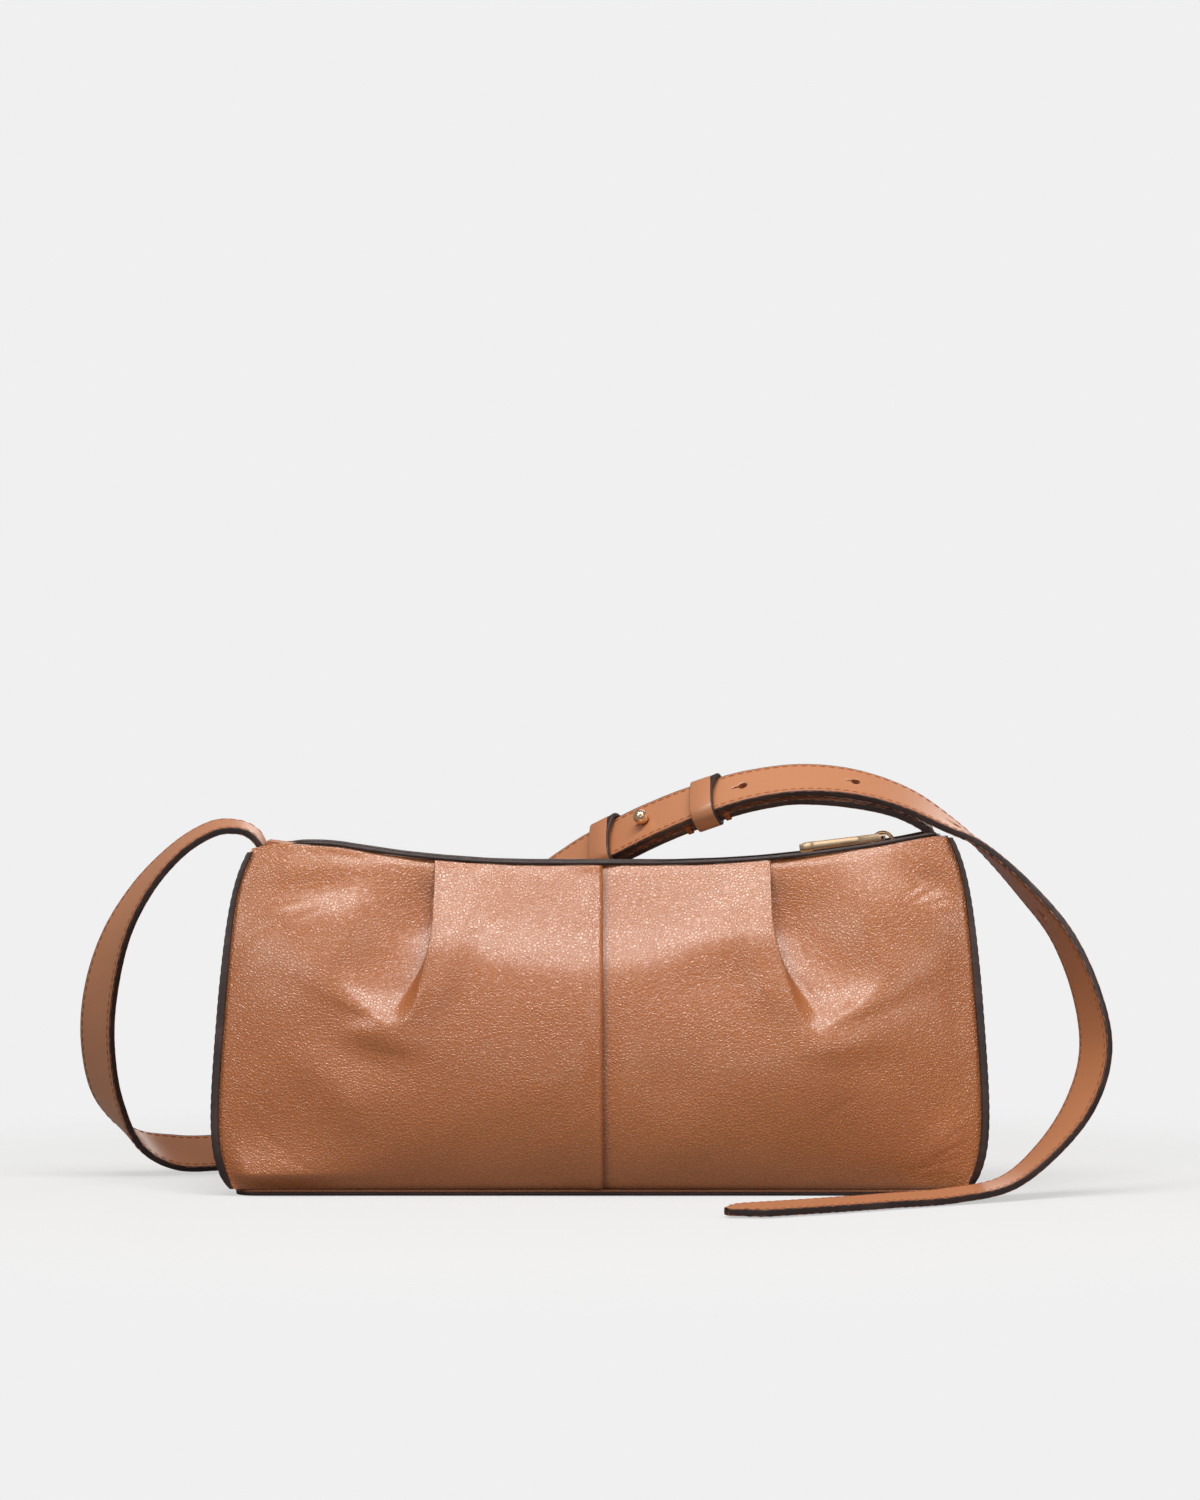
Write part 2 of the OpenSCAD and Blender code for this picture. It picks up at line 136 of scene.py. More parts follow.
def evenly(loop, count):
    """A closed loop of (a, b) points as count points the same distance apart."""
    closed = np.concatenate([loop, loop[:1]])
    arc = run_length(closed)
    s = np.linspace(0, arc[-1], count, endpoint=False)
    return np.stack([np.interp(s, arc, closed[:, 0]), np.interp(s, arc, closed[:, 1])], -1)


def circle(count):
    """Angles once round, without the last, which is the first again."""
    return np.linspace(0, 2 * np.pi, count, endpoint=False)


def unit(v):
    return v / np.linalg.norm(v, axis=-1, keepdims=True)


def away(loop):
    """Outward directions of a closed loop of (a, b) points, from each point's two neighbours."""
    ahead = np.roll(loop, -1, 0) - np.roll(loop, 1, 0)
    return unit(np.stack([ahead[:, 1], -ahead[:, 0]], -1))


def grid_of(x, y, z):
    """One array of points from three arrays that spread over the same grid."""
    return np.stack(np.broadcast_arrays(x, y, z), -1)


# ---------------------------------------------------------------- shape of the shell


def rise(x, k, flat):
    return k * np.maximum(0, np.abs(x) - flat) ** 2


def rim_z(x):
    """Height of the rim: level in the middle, rising to both ends, dipping at the corners."""
    left = rise(x, 0.0011, 22) - rise(x, 0.0065, 99)
    right = rise(x, 0.00098, 22) - rise(x, 0.02, 127)
    return TRACK_H + 1.5 + np.where(x < 0, left, right)


def seam_x(v):
    """Half width at the side seams, v from 0 at the base to 1 at the rim."""
    return HALF_W - 8 * v - 6 * v**12 - 9 * (1 - v) ** 10


def seam_y(v):
    """Half depth at the side seams."""
    return END_HALF + (HALF_D - END_HALF) * (1 - v**1.6)


def fullness(v):
    """Belly over the height, 0 at both edges and 1 at its fullest."""
    return np.maximum(0, np.sin(np.pi * np.clip(v, 0, 1) ** 0.9)) ** 0.75


def plain_depth(s, v):
    """Half depth of a wall without its pleats; s is 0 at the middle and 1 at the side seam."""
    s = np.clip(np.abs(s), 0, 1)
    return seam_y(v) + (HALF_MOUTH - END_HALF) * (1 - s**6) * v + BELLY * (1 - s**2.6) * fullness(v)


def shoulder(x, s, v):
    """How far the wall is drawn in over its top third, where it runs straight up to the rim instead of
    keeping its fullness; the straight part starts higher toward the pleats and fades outward of them."""
    start = 0.65 + 0.05 * smooth((np.abs(x) - 18) / 42)
    low, high = plain_depth(s, start), plain_depth(s, 1.0)
    gap = plain_depth(s, v) - (low + (high - low) * (v - start) / (1 - start))
    keep = (1 - 0.6 * smooth((np.abs(x) - 58) / 30)) * (1 - smooth((np.abs(x) - 104) / 24))
    return np.maximum(0, gap) * smooth((v - start + 0.04) / 0.2) * keep


def wall_z(x, v):
    return WALL_Z0 + v * (rim_z(x) - RIM_DROP - WALL_Z0)


# ---------------------------------------------------------------- pleats, dents and the middle seam

# One row for each hand: fold at the rim, height where it starts to lean out, its lean, the lean's
# power, height of the scoop's closed end, scoop width, scoop width at the rim, depth.
PLEAT = {
    -1: dict(top=65.0, turn=108.0, lean=0.0237, power=1.72, end=67.0, wide=34.0, mouth=31.0, deep=7.6),
    1: dict(top=67.0, turn=108.0, lean=0.0401, power=1.6, end=65.5, wide=37.0, mouth=36.0, deep=8.2),
}

# Each row: x, z, half length, half height, turn in degrees, height outward.
RELIEF = {
    -1: np.array([
        (-112, 118.0, 21, 6.5, 4, -1.2), (-100, 127.0, 24, 4.5, 4, 0.5),
        (-93, 57, 17, 8.5, -24, -1.7), (-86, 66, 13, 4.0, 14, 0.9),
        (-104, 43, 17, 8, -44, 1.0), (-68, 48, 24, 13, -12, -0.8),
        (-130, 5, 28, 12, 5, 5.0), (-124, 96, 17, 13, 20, 0.7), (-34, 80, 20, 20, 0, 0.5)]),
    1: np.array([
        (48, 100, 24, 9, 12, 0.9), (42, 84, 18, 10, 20, -1.2),
        (94, 56, 27, 24, 0, 2.8), (104, 52, 12, 8, -20, -0.8),
        (130, 120, 10, 6, -24, -1.9), (110, 112, 13, 12, -10, 1.0),
        (134, 22, 11, 6, 40, 0.8), (120, 66, 15, 17, 10, 0.6), (30, 42, 20, 13, 0, -0.6),
        (150, 70, 20, 40, 0, -1.6)]),
}

# Fine creases: x, z, half length, half height, turn, height, for the corners where leather is gathered.
CREASES = {
    -1: np.array([
        (-121, 112, 9, 1.1, 12, -0.25), (-116, 108, 8, 1.0, 20, -0.22), (-129, 104, 8, 1.0, 30, -0.2),
        (-126, 20, 8, 1.2, -30, -0.22), (-132, 26, 7, 1.1, -38, -0.2), (-120, 14, 8, 1.2, -20, -0.2),
        (-72, 68, 5, 0.9, 62, -0.25), (-84, 56, 8, 1.3, -14, -0.25), (-66, 117, 4, 0.8, 80, -0.3)]),
    1: np.array([
        (128, 116, 8, 1.0, 22, -0.35), (124, 119, 7, 0.9, 40, -0.3), (134, 113, 7, 1.0, 10, -0.25),
        (138, 24, 8, 1.0, 35, -0.3), (134, 17, 8, 1.0, 28, -0.3), (141, 32, 6, 0.9, 50, -0.25),
        (129, 12, 8, 1.0, 18, -0.22), (82, 78, 7, 0.9, -50, -0.22), (88, 86, 7, 0.9, -62, -0.2),
        (80, 92, 6, 0.9, -70, -0.2), (92, 34, 9, 1.2, 30, -0.2)]),
}

# At the middle seam one quarter's edge rolls over the other's, which runs on below it.
EDGE_OVER = 1.2
EDGE_UNDER = 1.0
EDGE_ROLL = 2.4
HANDS = ((-1, "left"), (1, "right"))
SIDES = ((-1, "front"), (1, "back"))


def seam_start(hand, side):
    """Whether a quarter lies over its neighbour at the middle seam, and where its first column stands."""
    over = hand < 0 if side < 0 else hand > 0
    return over, -EDGE_OVER if over else -EDGE_UNDER


def hills(table, x, z):
    """Sum of oval bumps: each is height times exp(-(along/half length)^2 - (across/half height)^2)."""
    x, z = x[..., None], z[..., None]
    turn = np.radians(table[:, 4])
    dx, dz = x - table[:, 0], z - table[:, 1]
    along = (dx * np.cos(turn) + dz * np.sin(turn)) / table[:, 2]
    across = (dz * np.cos(turn) - dx * np.sin(turn)) / table[:, 3]
    return (table[:, 5] * bell(along) * bell(across)).sum(-1)


def slow_waves(x, z, seed):
    """Sum of six long sine waves with seeded directions, so that no wall is a perfect surface."""
    rng = np.random.default_rng(seed)
    total = 0.0
    for length in (95, 70, 52, 40, 31, 24):
        a, phase = rng.uniform(0, 2 * np.pi, 2)
        total = total + length / 420 * np.sin(2 * np.pi * (x * np.cos(a) + z * np.sin(a)) / length + phase)
    return total


def fold_x(z, p):
    """Distance of a pleat's fold from the middle: upright above the turn, leaning out below it."""
    floor = p["end"] - 2
    z = floor + 4 * np.log1p(np.exp((z - floor) / 4))
    return p["top"] + p["lean"] * np.maximum(0, p["turn"] - z) ** p["power"]


def pleat_relief(w, z, top, p):
    """Depth of a pleat at w outward of its fold: a step down at the fold that gets softer toward the
    closed end, a scoop that is widest in its middle and closed below by a raised lip, and a broad roll
    on the inner side. Returns the depth inward, the sideways push that makes the fold overhang, and
    the shade."""
    b = z - p["end"]
    width = p["wide"] * np.sin(np.pi / 2 * np.clip((b + 3) / 27, 1e-4, 1) ** 1.1)
    width = width - (p["wide"] - p["mouth"]) * smooth((b - 26) / 30)
    t = np.clip(w / np.maximum(width, 0.5), 0, 3)
    held = 1 - 0.87 * smooth((z - top + 31) / 32)
    open_ = (0.5 * smooth((b + 4) / 18) + 0.8 * smooth(b / 44)) * held
    across = (1 - np.clip(t, 0, 1) ** (2.2 - 0.8 * smooth((b - 18) / 26))) ** 1.2
    soft = 1.7 + 7.5 * (1 - smooth((b + 2) / 26))
    step = smooth((w + 0.5 * soft) / soft)
    scoop = p["deep"] * open_ * across * step
    lip = 0.8 * bell((t - 1.18) / 0.3) * smooth((b + 2) / 10) * smooth((38 - b) / 18)
    lip = lip + 1.5 * bell((b + 6.5) / 6.5) * bell((w - 5) / 14)
    roll = (0.6 * bell((w + 3.2) / 2.6) + 2.3 * bell((w + 8.5) / 7.5)) * smooth((b + 6) / 22) * held
    keen = smooth((b - 8) / 30) * (0.4 + 0.6 * held)
    push = 1.7 * keen * (bell((w + 0.9) / 1.5) - bell((w - 1.1) / 1.5))
    shade = 0.75 * bell((w - 0.7) / 1.2) * keen
    shade = shade + 0.3 * bell((w - 2.5) / 5.0) * open_ * smooth((44 - b) / 30)
    shade = shade + 0.4 * bell((w - 3.0) / 4.5) * bell((z - top + 10.5) / 5.0)
    return scoop - lip - roll, push, shade


def column_places(count, start):
    """Column places from the middle seam to the side seam, closer together at the seam and the fold."""
    x = np.linspace(start, HALF_W, 2001)
    density = 1 + 7 * bell((x - start - 1.0) / 2.2) + 3.2 * bell((x - 68) / 6) + 0.8 * bell((x - 74) / 18)
    total = np.concatenate([[0], np.cumsum((density[1:] + density[:-1]) / 2)])
    return (np.interp(np.linspace(0, total[-1], count), total, x) - start) / (HALF_W - start)


def row_places(count):
    """Row places from base to rim, closer together at both ends."""
    r = np.linspace(0, 1, count)
    return r - 0.13 * np.sin(2 * np.pi * r)


def quarter_shell(hand, side, u, v):
    """Outer surface of one quarter of the shell. hand is -1 left and 1 right, side -1 front and 1 back.
    A column runs up the wall at a set share of the half width, and bends with the pleat's fold; its
    depth is the plain wall less the pleat and the shoulder, plus the dents. At the middle seam the
    left quarter's edge rolls over the right one in front, and the right one's over the left behind."""
    p = PLEAT[hand]
    over, start = seam_start(hand, side)
    u, v = u[:, None], v[None, :]
    half = seam_x(v)
    x = start + u * (half - start)
    z_fold = wall_z(hand * p["top"], v)
    fold = fold_x(z_fold, p)
    share = (p["top"] - start) / (HALF_W - 8 - start)
    rising = (np.clip(u, 1e-6, 1) / share) ** (9 * share)
    falling = ((1 - np.clip(u, 0, 1 - 1e-6)) / (1 - share)) ** (9 * (1 - share))
    x = x + (fold - start - share * (half - start)) * rising * falling
    z = wall_z(hand * x, v)
    w = x - fold
    top = rim_z(hand * x) - RIM_DROP
    pleat, push, shade = pleat_relief(w, z, top, p)
    y = plain_depth(x / half, v)
    inside = smooth((half - x) / 9) * smooth(v / 0.05) * smooth((1 - v) / 0.03)
    if side < 0:
        bumps = hills(RELIEF[hand], hand * x, z) + hills(CREASES[hand], hand * x, z)
        bumps = bumps + slow_waves(hand * x, z, 11 + hand)
    else:
        pleat, push, shade = 0.75 * pleat, 0.7 * push, 0.8 * shade
        swapped = RELIEF[-hand] * [-1, 1, 1, 1, -1, 1]
        bumps = 0.7 * slow_waves(hand * x, z, 31 + hand) + 0.55 * hills(swapped, hand * x, z)
    y = y + bumps * inside - pleat * smooth(v / 0.05) - shoulder(hand * x, x / half, v)
    x = x + push
    if over:
        y = y + 1.3 * (1 - smooth((x - start - 1) / 7))
        q = np.clip((start + EDGE_ROLL - x) / EDGE_ROLL, 0, 1)
        y = y - EDGE_ROLL * (1 - np.sqrt(1 - q**2 * 0.998))
    else:
        y = y - 1.1 * (1 - smooth((x - 0.6) / 9))
        # Painted shade on the under quarter, where it runs in beneath the other quarter's rolled edge.
        shade = shade + 0.9 * bell((x - 1.6) / 1.5)
    # Painted shade along the foot of the wall, just above the base.
    shade = shade + 0.7 * bell((z - WALL_Z0) / 1.6)
    corner = smooth((-119 - hand * x) / 5) * v**10 if hand < 0 else 0
    z = z + 1.5 * corner
    return grid_of(hand * x, side * y, z), np.clip(shade, 0, 1)


def gusset_surface(hand, q, v):
    """Outer surface of an end gusset: q runs from the front seam to the back one, and the middle folds
    in by 7 mm times (1 - |q|^1.7) times sin(pi v)."""
    q, v = q[:, None], v[None, :]
    y = q * (seam_y(v) + 0.1)
    x = seam_x(v) - GUSSET_FOLD * (1 - np.abs(q) ** 1.7) * np.sin(np.pi * v)
    z = wall_z(hand * seam_x(v), v)
    x = x + 0.35 * slow_waves(y + 60, z, 50 + hand) * (1 - q**2) * np.sin(np.pi * v)
    return grid_of(hand * x, y, z)


# ---------------------------------------------------------------- from grids to meshes


def grid_faces(nu, nv, round_u=False, round_v=False, first=0):
    """Quads between neighbouring points of an nu by nv grid, joined end to end where asked."""
    i, j = np.meshgrid(np.arange(nu - (not round_u)), np.arange(nv - (not round_v)), indexing="ij")
    i2, j2 = (i + 1) % nu, (j + 1) % nv
    quads = np.stack([i * nv + j, i2 * nv + j, i2 * nv + j2, i * nv + j2], -1)
    return quads.reshape(-1, 4) + first


def volume(points, faces):
    """Signed volume: positive if the faces point outwards."""
    total = 0.0
    for k in range(1, faces.shape[1] - 1):
        a, b, c = points[faces[:, 0]], points[faces[:, k]], points[faces[:, k + 1]]
        total += np.einsum("ij,ij->i", a, np.cross(b, c)).sum() / 6
    return total


def outward(points, faces):
    return faces if volume(points, faces) > 0 else faces[:, ::-1]


def tidy_faces(faces):
    """Faces as lists without repeated neighbours, so that a fan's triangles stay triangles."""
    return [[a for k, a in enumerate(f) if a != f[k - 1]] for f in faces.tolist()]


def put_piece(name, solid, finish, nodes=(), crease=50, body="bag", marks=None, lengths=None,
              turn=True, weld=False):
    """Makes the mesh of a solid, (points, faces), in metres, gives it its finish, its point marks and its
    UV lengths, hangs it under its body's empty and hides the CAD parts it stands for. crease is the
    sharpest angle in degrees that stays smooth."""
    points, faces = solid
    mesh = bpy.data.meshes.new(name)
    mesh.from_pydata((points * MM).tolist(), [], tidy_faces(outward(points, faces) if turn else faces))
    for label, values in (marks or {}).items():
        layer = mesh.attributes.new(label, "FLOAT", "POINT")
        layer.data.foreach_set("value", np.ascontiguousarray(values, np.float32).ravel())
    if lengths is not None:
        layer = mesh.uv_layers.new(name="lengths")
        corner = np.empty(len(mesh.loops), np.int32)
        mesh.loops.foreach_get("vertex_index", corner)
        layer.data.foreach_set("uv", (lengths[corner] * MM).astype(np.float32).ravel())
    mesh.polygons.foreach_set("use_smooth", np.ones(len(mesh.polygons), bool))
    if weld:
        shell = bmesh.new()
        shell.from_mesh(mesh)
        bmesh.ops.remove_doubles(shell, verts=shell.verts, dist=0.00001)
        shell.to_mesh(mesh)
        shell.free()
    mesh.update()
    mesh.set_sharp_from_angle(angle=math.radians(crease))
    mesh.materials.append(finish)
    piece = bpy.data.objects.new(name, mesh)
    bpy.context.scene.collection.objects.link(piece)
    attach(piece, body)
    if nodes:
        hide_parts(*nodes)


def joined(parts):
    """Several (points, faces) as one; each part is turned outwards first."""
    points, faces, first = [], [], 0
    for p, f in parts:
        points.append(p)
        faces.append(outward(p, f) + first)
        first += len(p)
    return np.concatenate(points), np.concatenate(faces)


def rim_loop(nu, nv):
    """Indices of a grid's border, once round."""
    return np.concatenate([
        np.arange(nu) * nv, (nu - 1) * nv + np.arange(1, nv),
        np.arange(nu - 2, -1, -1) * nv + nv - 1, np.arange(nv - 2, 0, -1)])


def sheet_solid(outer, inner):
    """A sheet with thickness: two grids of points, and a strip of quads round their borders."""
    nu, nv = outer.shape[:2]
    points = np.concatenate([outer.reshape(-1, 3), inner.reshape(-1, 3)])
    n = nu * nv
    ring = rim_loop(nu, nv)
    after = np.roll(ring, -1)
    top = grid_faces(nu, nv)
    under = grid_faces(nu, nv, first=n)[:, ::-1]
    edge = np.stack([after, ring, ring + n, after + n], -1)
    return points, np.concatenate([top, under, edge])


def grid_normals(grid):
    """Unit normals of a grid of points from its differences along rows and columns."""
    n = np.cross(np.gradient(grid, axis=0), np.gradient(grid, axis=1))
    return n / np.maximum(np.linalg.norm(n, axis=-1, keepdims=True), 1e-9)


def grid_lengths(grid):
    """Distances along the columns and rows of a grid, for patterns that follow the surface."""
    du = np.linalg.norm(np.diff(grid, axis=0), axis=-1)
    dv = np.linalg.norm(np.diff(grid, axis=1), axis=-1)
    u = np.concatenate([np.zeros((1, grid.shape[1])), np.cumsum(du, 0)])
    v = np.concatenate([np.zeros((grid.shape[0], 1)), np.cumsum(dv, 1)], 1)
    return np.stack([u, v], -1).reshape(-1, 2)


def swept(rings, closed=False):
    """A bar through rings (count, points each, 3); its two ends are closed by fans unless it is a loop."""
    count, m = rings.shape[:2]
    points = rings.reshape(-1, 3)
    faces = grid_faces(count, m, round_u=closed, round_v=True)
    if closed:
        return points, faces
    ends = np.stack([rings[0].mean(0), rings[-1].mean(0)])
    k = np.arange(m)
    k2 = (k + 1) % m
    n = count * m
    last = (count - 1) * m
    start = np.stack([k, k2, np.full(m, n), np.full(m, n)], -1)
    stop = np.stack([last + k2, last + k, np.full(m, n + 1), np.full(m, n + 1)], -1)
    return np.concatenate([points, ends]), np.concatenate([faces, start, stop])


def rounded(half_a, half_b, radius, n=5):
    """Outline of a rectangle with rounded corners, as (a, b) pairs, once round."""
    t = np.linspace(0, np.pi / 2, n)
    a, b = half_a - radius, half_b - radius
    arcs = [np.array([[sa * a], [sb * b]]) + radius * np.stack([np.cos(t + q), np.sin(t + q)])
            for sa, sb, q in ((1, 1, 0), (-1, 1, np.pi / 2), (-1, -1, np.pi), (1, -1, 1.5 * np.pi))]
    return np.concatenate([arc.T for arc in arcs])


# ---------------------------------------------------------------- finishes


def shade_of(red, green, blue):
    """A display colour of 0 to 255 as linear light, with alpha."""
    c = np.array([red, green, blue]) / 255
    lin = np.where(c <= 0.04045, c / 12.92, ((c + 0.055) / 1.055) ** 2.4)
    return (*lin.tolist(), 1.0)


class Value:
    """A shader socket in an expression: each operation on it adds a Math node."""

    def __init__(self, finish, socket):
        self.finish, self.socket = finish, socket

    def maths(self, operation, *values):
        return self.finish.node("ShaderNodeMath", {"operation": operation}, dict(enumerate(values)))

    def __add__(self, other):
        return self.maths("ADD", self, other)

    def __mul__(self, other):
        return self.maths("MULTIPLY", self, other)

    def __sub__(self, other):
        return self.maths("SUBTRACT", self, other)

    def __rsub__(self, other):
        return self.maths("SUBTRACT", other, self)

    def __pow__(self, other):
        return self.maths("POWER", self, other)

    __radd__ = __add__
    __rmul__ = __mul__


class Finish:
    """A material being put together; node() adds any node and returns one of its outputs."""

    def __init__(self, name):
        self.material = bpy.data.materials.new(name)
        self.material.use_nodes = True
        self.tree = self.material.node_tree
        self.tree.nodes.clear()
        self.place = self.node("ShaderNodeTexCoord", {}, {}, "Object")

    def node(self, kind, settings, inputs, output=0):
        n = self.tree.nodes.new(kind)
        for key, value in settings.items():
            setattr(n, key, value)
        for key, value in inputs.items():
            self.feed(n.inputs[key], value)
        return Value(self, n.outputs[output])

    def feed(self, socket, value):
        if isinstance(value, Value):
            self.tree.links.new(value.socket, socket)
        else:
            socket.default_value = value

    def ramp(self, value, stops):
        """A grey ramp between two (place, grey) stops."""
        r = self.node("ShaderNodeValToRGB", {}, {"Fac": value}, "Color")
        for stop, (at, grey) in zip(r.socket.node.color_ramp.elements, stops):
            stop.position = at
            stop.color = (grey, grey, grey, 1)
        return r

    def between(self, share, a, b):
        """Colour a where share is 0 and colour b where it is 1."""
        return self.node("ShaderNodeMix", {"data_type": "RGBA"}, {0: share, 6: a, 7: b}, 2)

    def noise(self, scale, detail=3, roughness=0.5, stretch=None):
        place = self.place
        if stretch:
            place = self.node("ShaderNodeMapping", {}, {"Vector": place, "Scale": stretch})
        return self.node("ShaderNodeTexNoise", {}, {
            "Vector": place, "Scale": scale, "Detail": detail, "Roughness": roughness})

    def bump(self, height, distance, strength):
        return self.node("ShaderNodeBump", {}, {
            "Height": height, "Distance": distance, "Strength": strength})

    def cells(self, place, scale):
        """Distance to the nearest border between cells."""
        return self.node("ShaderNodeTexVoronoi", {"feature": "DISTANCE_TO_EDGE"}, {
            "Vector": place, "Scale": scale}, "Distance")

    def attribute(self, name):
        return self.node("ShaderNodeAttribute", {"attribute_name": name}, {}, "Fac")

    def done(self, varying, constant):
        shader = self.node("ShaderNodeBsdfPrincipled", {}, {**constant, **varying}, "BSDF")
        out = self.tree.nodes.new("ShaderNodeOutputMaterial")
        self.tree.links.new(shader.socket, out.inputs["Surface"])
        return self.material


TAN = shade_of(183, 104, 50)
TAN_DEEP = shade_of(138, 72, 36)
TAN_LIGHT = shade_of(195, 118, 62)
STRAP_TAN = shade_of(196, 128, 86)
STRAP_LIGHT = shade_of(206, 140, 98)
DARK = shade_of(50, 37, 36)


def pebbled_leather():
    """Milled leather: small pebbles with creases between them, soft colour drift, and painted shade where
    the fold mark is set.
    """
    f = Finish("pebbled_tan_leather")
    drift = f.noise(9, 4, 0.55)
    blotch = f.noise(46, 3, 0.6)
    wander = f.node("ShaderNodeTexNoise", {}, {"Vector": f.place, "Scale": 260.0, "Detail": 2.0}, "Color")
    moved = f.node("ShaderNodeVectorMath", {"operation": "MULTIPLY_ADD"}, {
        0: wander, 1: (0.0011, 0.0011, 0.0011), 2: f.place})
    pebble = f.cells(moved, 780.0)
    crease = f.node("ShaderNodeMapRange", {"interpolation_type": "SMOOTHSTEP"}, {
        "Value": pebble, "From Min": 0.0, "From Max": 0.26, "To Min": 0.0, "To Max": 1.0})
    fine = f.noise(1500, 2, 0.6)
    lumps = f.noise(330, 2, 0.5)
    tone = f.between(drift * 1.6 - 0.3, TAN, TAN_LIGHT)
    tone = f.between((1 - crease) * 0.16 + (1 - blotch) * 0.10, tone, TAN_DEEP)
    # Painted shade: the fold mark darkens the leather where shade falls, in pleats, under overlaps, at the
    # foot and the welt.
    fold = f.attribute("fold")
    tone = f.between(fold * 0.6, tone, shade_of(84, 42, 24))
    height = crease * 0.7 + lumps * 0.32 + fine * 0.2
    normal = f.bump(height, 0.00021, 0.9)
    rough = (1 - crease) * 0.10 + blotch * 0.08 + 0.235 + fold * 0.2
    return f.done({"Base Color": tone, "Roughness": rough, "Normal": normal},
                  {"Specular IOR Level": 0.9, "Coat Weight": 0.32, "Coat Roughness": 0.24})


def smooth_leather():
    """Finished strap leather: nearly smooth, with fine pores and a little drift in its colour."""
    f = Finish("smooth_tan_leather")
    drift = f.noise(14, 3, 0.5)
    pores = f.noise(1300, 3, 0.62)
    grain = f.cells(f.place, 1150.0)
    tone = f.between(drift * 1.4 - 0.2, STRAP_TAN, STRAP_LIGHT)
    tone = f.between((1 - pores) * 0.14, tone, TAN_DEEP)
    tone = f.between(f.attribute("edge") * 0.35, tone, TAN_DEEP)
    normal = f.bump(pores * 0.6 + grain * 0.8, 0.00005, 0.5)
    return f.done({"Base Color": tone, "Roughness": pores * 0.12 + 0.34, "Normal": normal},
                  {"Specular IOR Level": 0.7, "Coat Weight": 0.2, "Coat Roughness": 0.34})


def edge_paint():
    """Dark acrylic edge paint: slightly wavy, with a dull gleam and rubbed spots."""
    f = Finish("dark_edge_paint")
    rubbed = f.noise(60, 4, 0.6)
    tone = f.between(f.ramp(rubbed, [(0.45, 0.0), (0.8, 1.0)]), DARK, shade_of(78, 60, 57))
    normal = f.bump(f.noise(420, 2, 0.5) * 0.8 + f.noise(90, 2, 0.5), 0.0001, 0.5)
    return f.done({"Base Color": tone, "Roughness": rubbed * 0.22 + 0.30, "Normal": normal},
                  {"Specular IOR Level": 0.5})


def thread(name, tone, deep):
    """Twisted thread: a fine slanted ply along each stitch, with painted shade in the ply's grooves."""
    f = Finish(name)
    ply = f.node("ShaderNodeTexWave", {"wave_type": "BANDS", "bands_direction": "DIAGONAL"}, {
        "Vector": f.place, "Scale": 900.0, "Distortion": 1.5}, "Fac")
    normal = f.bump(ply, 0.00006, 0.6)
    # Painted shade: darker where the ply's bump sinks, plus some random tone from the noise.
    tone = f.between(ply * 0.5 + f.noise(120) * 0.3, deep, tone)
    return f.done({"Base Color": tone, "Roughness": ply * 0.1 + 0.55, "Normal": normal},
                  {"Sheen Weight": 0.1})


def polished_gold():
    """Polished pale gold plating with faint brushing and smudges."""
    f = Finish("pale_gold_metal")
    smudge = f.noise(130, 4, 0.6)
    brush = f.noise(500, 2, 0.5, stretch=(0.08, 1.0, 1.0))
    tone = f.between(smudge, shade_of(236, 201, 160), shade_of(246, 219, 186))
    return f.done({"Base Color": tone, "Roughness": smudge * 0.10 + brush * 0.06 + 0.16,
                   "Normal": f.bump(brush, 0.00001, 0.3)}, {"Metallic": 1.0})


def woven_cloth(name, warp_tone, weft_tone, pitch, rough=0.75):
    """Plain weave on the piece's own lengths: warp and weft as crossed sine ribs."""
    f = Finish(name)
    uv = f.node("ShaderNodeUVMap", {"uv_map": "lengths"}, {}, "UV")
    parts = f.node("ShaderNodeSeparateXYZ", {}, {"Vector": uv}, "X")
    across = Value(f, parts.socket.node.outputs["X"])
    along = Value(f, parts.socket.node.outputs["Y"])
    turn = math.pi / pitch
    warp = (across * turn).maths("SINE", across * turn)
    weft = (along * turn).maths("SINE", along * turn)
    cross = warp * weft
    rib = cross.maths("ABSOLUTE", cross) ** 0.5
    tone = f.between(cross * 0.5 + 0.5, warp_tone, weft_tone)
    tone = f.between(f.noise(60, 3) * 0.25, tone, shade_of(120, 90, 66))
    return f.done({"Base Color": tone, "Roughness": f.noise(300) * 0.1 + rough,
                   "Normal": f.bump(rib, 0.00009, 0.8)},
                  {"Sheen Weight": 0.2, "Specular IOR Level": 0.3})


def pressed_board():
    """Grey pressed fibre board."""
    f = Finish("pressed_board")
    fibre = f.noise(700, 3, 0.7, stretch=(0.2, 1, 1))
    return f.done({"Base Color": f.between(fibre, shade_of(120, 112, 104), shade_of(158, 150, 140)),
                   "Roughness": fibre * 0.2 + 0.75, "Normal": f.bump(fibre, 0.0001, 0.5)}, {})


PEBBLED = pebbled_leather()
SMOOTH = smooth_leather()
PAINT = edge_paint()
STITCH = thread("orange_brown_thread", shade_of(196, 104, 40), shade_of(128, 62, 22))
GOLD = polished_gold()
TAPE = woven_cloth("zip_tape_weave", shade_of(196, 158, 122), shade_of(176, 136, 100), 0.0008)
WEAVE = woven_cloth("lining_weave", shade_of(206, 186, 158), shade_of(188, 166, 136), 0.0007, 0.8)
BOARD = pressed_board()


# ---------------------------------------------------------------- shell pieces

PANEL_COLUMNS = 176
PANEL_ROWS = 150


